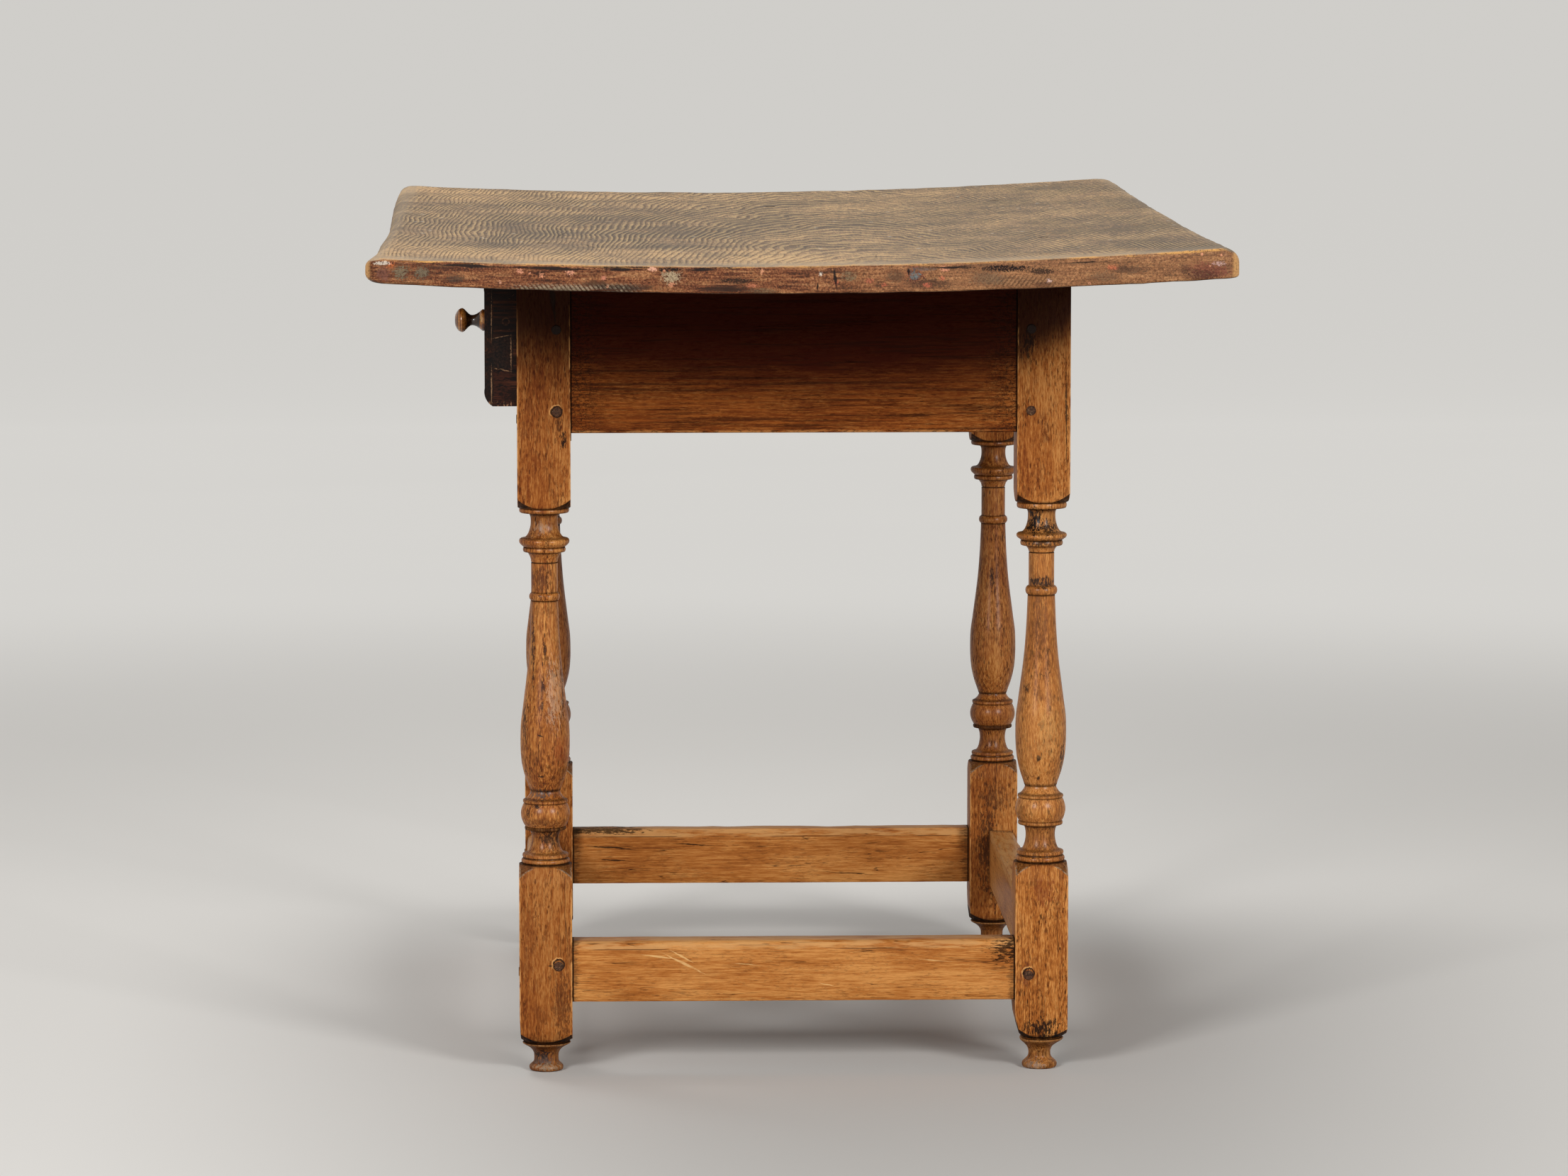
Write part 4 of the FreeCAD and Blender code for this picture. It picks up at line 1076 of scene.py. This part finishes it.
plankLook = {
    "gold": (206, 169, 126), "tan": (158, 131, 103), "grey": (110, 95, 80), "late": (60, 44, 30),
    "early": (222, 190, 134), "smoke": (92, 82, 72), "scar": (50, 34, 24), "edgeLight": (196, 142, 96),
    "edge": (152, 100, 64), "edgeRed": (118, 66, 42), "edgeDark": (60, 37, 26), "soot": (24, 17, 15),
    "rim": (222, 166, 96), "tips": (226, 172, 110), "chip": (220, 152, 116), "below": (58, 34, 22),
    "chalkAndGlint": (228, 218, 200), "ringWidth": 3.7, "pithX": 46, "pithDepth": 190, "pithTilt": 0.10,
    "sawPitch": 3.8, "crown": (60, 11800, 725.5),
    # saw marks: left, right, low, high, which way they lean, colour, strength
    "saw": [(-240, -140, 702, 710.5, 1, (160, 148, 124), 0.75),
            (150, 206, 704, 717, -1, (150, 112, 78), 0.55)],
    # how much gold is left along the front arris, from left to right
    "worn": [(0, 0.95), (0.24, 0.85), (0.30, 0.45), (0.39, 0.35), (0.44, 0.8), (0.66, 0.75), (0.70, 0.4),
             (0.76, 0.9), (1, 1)],
    # scratches on the face: from (across, along), to (across, along), width
    "scratches": [
        (-208, -250, -196, -130, 2), (-196, -130, -210, -60, 1.6), (-150, -190, -120, -150, 1.6),
        (-120, -150, -138, -60, 1.6), (-168, -420, -186, -300, 1.6), (60, -560, 66, -480, 1.4),
    ],
    # cracks in the front edge: from (across, height), to (across, height), width
    "cracks": [
        (-312, 727.6, -236, 724.6, 2.6), (-256, 725.4, -160, 722.3, 2.4), (-180, 723, -124, 722.2, 1.5),
        (-104, 722.4, -66, 722.8, 1.7), (-196, 725, -120, 723.8, 1), (22, 728, 26, 702, 2),
        (10, 714, 9, 704, 1.2), (84, 725, 84.5, 717, 1.8), (96, 723.4, 140, 724.6, 1.3),
        (205, 726.4, 262, 729.6, 0.9),
    ],
    # marks on the front edge: (across, height), half size, colour, strength
    "spots": [
        ((-332, 721), (9, 8), (44, 34, 24), 0.7), ((-315, 720.5), (9, 8), (44, 34, 24), 0.7),
        ((-332, 721), (7.4, 6.4), (124, 110, 86), 0.9), ((-315, 720.5), (7.4, 6.2), (116, 103, 82), 0.9),
        ((-346, 719), (7, 8), (112, 70, 60), 0.8), ((-350, 711), (7, 3), (58, 32, 22), 0.8),
        ((-340, 727), (5, 3), (196, 106, 56), 0.8), ((-324, 711), (10, 2.6), (44, 26, 18), 0.6),
        ((-288, 715.5), (10, 4), (66, 54, 44), 0.8), ((-300, 725), (14, 2), (40, 28, 22), 0.6),
        ((-235, 721.6), (3.4, 2.6), (220, 152, 118), 0.95),
        ((-216.7, 718.4), (3.2, 3), (220, 150, 112), 0.95),
        ((-193.6, 720.3), (3.8, 2.8), (222, 156, 124), 0.95),
        ((-251, 712.7), (1.8, 2), (206, 150, 118), 0.9), ((-205, 706), (30, 3), (126, 112, 90), 0.5),
        ((-150, 707.5), (30, 3.6), (44, 36, 30), 0.8), ((-172, 711), (14, 3), (40, 30, 24), 0.7),
        ((-110.5, 717), (9.5, 7), (176, 156, 124), 0.95), ((-112, 722.8), (12, 2.2), (12, 9, 7), 1),
        ((-126, 723.2), (4.4, 3), (228, 170, 140), 0.95), ((-110, 710.5), (3, 2.2), (200, 134, 100), 0.85),
        ((-166, 716), (2.4, 2.6), (214, 140, 112), 0.8), ((-57, 713.5), (19, 2.8), (24, 18, 16), 0.95),
        ((-64, 707), (28, 3.6), (34, 26, 22), 0.85), ((-36, 705), (14, 3), (92, 86, 66), 0.6),
        ((-44, 709.5), (6, 2.2), (196, 120, 88), 0.7), ((-36, 721), (1.8, 2.6), (226, 160, 120), 0.9),
        ((12, 719), (2, 2), (228, 214, 196), 0.8), ((25, 712), (2.2, 3), (206, 110, 78), 0.8),
        ((35, 717), (7, 5), (122, 110, 84), 0.75), ((52, 713), (4, 2.4), (190, 108, 80), 0.75),
        ((64, 710), (3.4, 2.2), (184, 98, 72), 0.75), ((73, 717), (10, 6), (72, 58, 46), 0.65),
        ((89.4, 717.6), (8.4, 7.6), (160, 86, 62), 0.85), ((89.4, 717.6), (6.6, 5.8), (34, 22, 18), 0.9),
        ((89.4, 717.4), (5.2, 4.4), (112, 116, 114), 1), ((102, 711), (22, 5), (54, 38, 32), 0.75),
        ((100, 709.5), (4, 2.8), (186, 100, 74), 0.8), ((96, 722.6), (14, 1.8), (104, 92, 86), 0.7),
        ((114, 723), (4.4, 3.2), (214, 146, 112), 0.9), ((112, 715), (3, 2.2), (200, 110, 80), 0.8),
        ((130, 724.4), (10, 1.8), (36, 26, 20), 0.85), ((163, 723.4), (26, 3.4), (28, 20, 17), 1),
        ((193, 721), (14, 3.4), (32, 24, 20), 0.9), ((150, 715), (18, 7), (100, 86, 68), 0.6),
        ((200, 713), (3, 2), (214, 180, 168), 0.8), ((195, 710), (10, 2.6), (72, 38, 30), 0.6),
        ((265, 722), (20, 4), (66, 50, 42), 0.65), ((245, 716), (15, 5), (92, 72, 56), 0.6),
        ((252, 724), (5, 2.6), (206, 116, 80), 0.7), ((331, 721), (22, 9), (118, 60, 50), 0.75),
        ((326, 717), (16, 6), (62, 36, 30), 0.6), ((340, 727), (6, 2.4), (206, 170, 160), 0.7),
        ((312, 722), (5, 6), (70, 46, 36), 0.6),
    ],
}


def plankFinish():
    look = plankLook
    wood = Finish("scrubbed_softwood_top", "Y", 71)
    x, y, z = wood.x, wood.y, wood.z
    # distance from the heart of the tree, which lies below the board and runs at a slant
    sway = wood.noise(120, 330, 1, 2) * 30 - 15
    off = x - look["pithX"] + sway + y * 0.03
    heart = ((off / 150) ** 2).rise(1.0, 0.2)
    ripple = (wood.noise(24, 40, 2, 3, 0.6) * 4 + wood.noise(60, 110, 13, 2) * 8 - 6) * (heart * 0.6 + 0.4)
    below = z - 700 + look["pithDepth"] + y * look["pithTilt"]
    far = (off ** 2 + below ** 2) ** 0.5 + ripple
    count = far / look["ringWidth"] + wood.noise(60, 400, 3, 2) * 5
    part = count.math("FRACT", count)
    late = part.rise(0.62, 0.88) * part.rise(1.0, 0.94)
    fibre = wood.noise(1.5, 20, 4, 4, 0.66)
    up = wood.facing[2]
    onTop = up.rise(0.55, 0.9)
    broad = wood.noise(110, 130, 5, 4, 0.62)
    mottle = wood.noise(9, 26, 19, 5, 0.68)
    tone = broad * 0.42 + mottle * 0.3 + fibre * 0.45 - 0.085
    # scrubbed paler along the front end, smoked and greyer at the middle and right
    tone = (tone + y.rise(-330, -500) * x.rise(200, -120) * 0.08 + y.rise(250, 480) * x.rise(-60, -240) * 0.03
            - wood.spot(x, y, (-140, -20), (190, 300), 0.7) * 0.055 - x.rise(0, 200) * 0.02 - 0.028)
    wood.colour = tone.ramp((0.39, look["grey"]), (0.50, look["tan"]), (0.61, look["gold"]))
    strong = wood.noise(44, 90, 20, 4).rise(0.38, 0.60)
    strong = strong.larger(heart * 0.75)
    rim = y.rise(-566, -622).larger(y.rise(618, 633)).larger(x.rise(-340, -354)).larger(x.rise(334, 350))
    wood.over(look["early"], part.rise(0.02, 0.12) * part.rise(0.5, 0.3) * (0.06 + strong * 0.3))
    wood.over(look["late"], late * (0.27 + strong * 0.30) * (1 - rim * 0.75))
    wood.over(look["smoke"], wood.noise(40, 80, 6, 6, 0.7).rise(0.53, 0.66) * 0.35)
    # worn hollows, dents and white specks have no direction
    scar = wood.noise(7, 5, 7, 4, 0.6).rise(0.64, 0.69) * wood.noise(50, 50, 21, 2).rise(0.45, 0.6)
    wood.over(look["scar"], scar * 0.75)
    glow = wood.noise(5, 5, 22, 3, 0.6).rise(0.62, 0.68) * wood.noise(70, 70, 23, 2).rise(0.5, 0.6)
    wood.over((206, 140, 78), glow * 0.5)
    nicks = wood.cells(26, 26, 14).rise(0.10, 0.06) * wood.noise(200, 200, 15).rise(0.5, 0.56)
    wood.over(look["chalkAndGlint"], nicks * 0.8)
    wavy = (x + (mottle - 0.5) * 8, y + (mottle - 0.5) * 30)
    for mark in look["scratches"]:
        wood.over(look["scar"], (wood.stroke(*wavy, mark) * onTop).smaller(1) * 0.6)
    wood.over(mixed((128, 110, 88), (166, 142, 112), broad.rise(0.42, 0.58)), rim * 0.6)
    face = wood.colour

    # the edges keep an old red-brown stain, in fine streaks, chipped and dented
    coat = wood.flecks((22, 22, 3), 8, 5, 0.68)
    lanes = wood.flecks((30, 30, 1.3), 25, 4, 0.6)
    fleck = wood.flecks((1.7, 1.7, 1.5), 16, 5, 0.72)
    warmth = x.rise(-30, 150)
    wood.colour = (coat * 0.5 + lanes * 0.4 + fleck * 0.65 - 0.285 + warmth * 0.02).ramp(
        (0.38, look["edgeDark"]), (0.46, look["edgeRed"]), (0.54, look["edge"]), (0.64, look["edgeLight"]))
    wood.over((182, 140, 98), warmth * 0.28)
    wood.over(look["edgeDark"], lanes.rise(0.56, 0.64) * 0.4)
    soot = (wood.flecks((34, 34, 7), 9, 4) * 1.6 + fleck * 1.2 + coat * 0.5 - 1.98).rise(0.0, 0.2)
    wood.over(look["soot"], soot * 0.7)
    front = y.rise(-618, -630)
    for left, right, low, high, way, pale, amount in look["saw"]:
        field = x.band(left, right, 12) * z.band(low, high, 2) * front * coat.rise(0.42, 0.52)
        teeth = (x + z * way * 0.8) / look["sawPitch"]
        teeth = teeth.math("FRACT", teeth)
        wood.over(mixed((44, 33, 27), pale, teeth.rise(0.25, 0.6)), field * amount)
    rough = fleck * 3 - 1.9
    for place, (wide, high), tint, amount in look["spots"]:
        near = wood.spot(x, z, place, (wide * 0.9, high * 0.9), 0.7)
        wood.over(tint, wood.ragged(near, rough) * amount)
    wood.over(look["edgeDark"], wood.flecks((1.6, 1.6, 1.3), 31, 3, 0.7).rise(0.50, 0.42) * 0.5)
    wavy = z + (coat - 0.5) * 5
    for mark in look["cracks"]:
        wood.over(look["soot"], wood.stroke(x, wavy, mark).smaller(1) * 0.95)
    chips = wood.cells(12, 12, 9).rise(0.12, 0.08) * wood.noise(60, 60, 10).rise(0.48, 0.56)
    wood.over(look["chip"], chips * fleck.rise(0.4, 0.5) * 0.85)
    onEdge = (up + coat * 0.5 - 0.25).rise(0.80, 0.66) * front.larger(up.rise(0.55, 0.2))
    wood.colour = mixed(face, wood.colour, onEdge)
    # the arris of the front end is rubbed to bare gold, less in its middle, and so are its two tips
    middle, bend, crown = look["crown"]
    depth = ((x + middle) ** 2) / bend + crown - z
    worn = ((x + 368) / 730).ramp(*look["worn"])
    arris = (depth + (fleck - 0.5) * 8 + (coat - 0.5) * 8).rise(1.9, 0.9) * y.rise(-630, -633)
    tips = abs(x + 3).rise(353, 357) * y.rise(-606, -618)
    wood.over(look["tips"], tips * fleck.rise(0.36, 0.48) * onEdge * 0.9)
    wood.over(look["rim"], arris * worn * (lanes + fleck).rise(0.90, 1.04) * 0.9)
    # a painted highlight: a pale glint on the nosing near the front left corner
    shine = wood.spot(x, z, (-347, 728.4), (7.5, 1.8), 0.6)
    wood.over(look["chalkAndGlint"], wood.ragged(shine, rough) * front * 0.65)
    wood.over(look["below"], up.rise(-0.6, -0.9) * 0.9)
    height = (late * 0.7 * onTop * (1 - rim * 0.8) + fibre * 0.2 + mottle * 0.3 + fleck * 0.3 * onEdge
              - scar * 0.4 - chips * 0.3 - soot * 0.2)
    rough = 0.6 + fibre * 0.16 - late * 0.08 - rim * 0.12 - onEdge * 0.15
    return wood.done(rough, height, 0.9, 0.0, 0.3, 0.12)


makeTop(plankFinish())


def seenDirectly(wire):
    # 1 for rays from the eye, from a mirror and through glass; 0 for light that bounces about
    rays = [wire.node("ShaderNodeLightPath", output="Is " + kind + " Ray")
            for kind in ("Camera", "Glossy", "Transmission")]
    return (rays[0] + rays[1] + rays[2]).smaller(1.0)


# The room: a pale sweep of paper, three soft lamps and the camera

roomLook = {"floor": (222, 219, 214), "cloud": (219.0235, 216.0613, 211.1243), "distance": (206, 204, 200),
            "bounce": (128, 118, 108), "air": 0.22, "fade": (1300, 3600), "width": 16, "sweep": 1.6,
            "height": 5}


def paperFinish(look):
    # pale where it is seen or mirrored, far off by its own light; it throws less back under the table
    room = Finish("studio_paper")
    cloud = room.noise(900, 900, 1, 2)
    seen = seenDirectly(room.grain)
    far = ((room.x ** 2 + room.y ** 2) ** 0.5).rise(*look["fade"]) * seen
    pale = mixed(mixed(look["floor"], look["cloud"], cloud), 0, far)
    glow = mixed(0, look["distance"], far)
    room.colour = mixed(look["bounce"], pale, seen)
    return room.done(0.62 + cloud * 0.1, None, 0, 0, 0.3, 0.3, glow)


bpy.ops.object.select_all(action="DESELECT")
bpy.ops.mesh.primitive_plane_add(size=1, location=(0, 0, 0))
floor = bpy.context.active_object
floor.name = "studio_floor"
bpy.ops.object.mode_set(mode="EDIT")
bpy.ops.mesh.select_all(action="SELECT")
bpy.ops.transform.resize(value=(roomLook["width"], roomLook["width"], 1))
backLine = roomLook["width"] / 2 - 0.1
selectEdges(floor, lambda a, b: min(a.y, b.y) > backLine)
bpy.ops.mesh.extrude_region_move(TRANSFORM_OT_translate={"value": (0, 0, roomLook["height"])})
selectEdges(floor, lambda a, b: min(a.y, b.y) > backLine and max(a.z, b.z) < 0.1)
bpy.ops.mesh.bevel(offset=roomLook["sweep"], segments=16, affect="EDGES")
bpy.ops.object.mode_set(mode="OBJECT")
bpy.ops.object.shade_smooth()
floor.data.materials.append(paperFinish(roomLook))

world = bpy.data.worlds.new("studio_air")
bpy.context.scene.world = world
world.use_nodes = True
behind = Wire(world.node_tree, world.node_tree.nodes["Background"].outputs[0])
airColour = mixed(roomLook["air"], roomLook["distance"], seenDirectly(behind))
world.node_tree.links.new(airColour.socket, behind.socket.node.inputs["Color"])

lampLook = {
    "left": {"at": (-2.3, -4.1, 2.0), "size": (1.1, 1.3), "power": 105},
    "right": {"at": (2.5, -3.9, 1.9), "size": (1.1, 1.3), "power": 105},
    "over": {"at": (-0.5, 1.2, 3.2), "size": (2.2, 1.4), "power": 60},
}
lampTarget = Vector((0, 0, 0.45))
for name, lamp in lampLook.items():
    light = bpy.data.lights.new("lamp_" + name, "AREA")
    light.shape = "RECTANGLE"
    light.size, light.size_y = lamp["size"]
    light.energy = lamp["power"]
    holder = bpy.data.objects.new("lamp_" + name, light)
    bpy.context.scene.collection.objects.link(holder)
    holder.location = lamp["at"]
    holder.rotation_euler = (lampTarget - Vector(lamp["at"])).to_track_quat("-Z", "Y").to_euler()

lensLook = {"at": (-0.187, -5.86525, 1.0355), "down": 6.28, "aside": 1.85, "lens": 146.5, "sensor": 36,
            "reach": 60}
camera = bpy.data.objects.new("camera", bpy.data.cameras.new("camera"))
bpy.context.scene.collection.objects.link(camera)
camera.data.lens = lensLook["lens"]
camera.data.sensor_width = lensLook["sensor"]
camera.data.clip_end = lensLook["reach"]
camera.location = lensLook["at"]
camera.rotation_euler = (math.radians(90 - lensLook["down"]), 0, math.radians(-lensLook["aside"]))
bpy.context.scene.camera = camera
bpy.context.scene.view_settings.view_transform = "Standard"
print("room, lamps and camera")
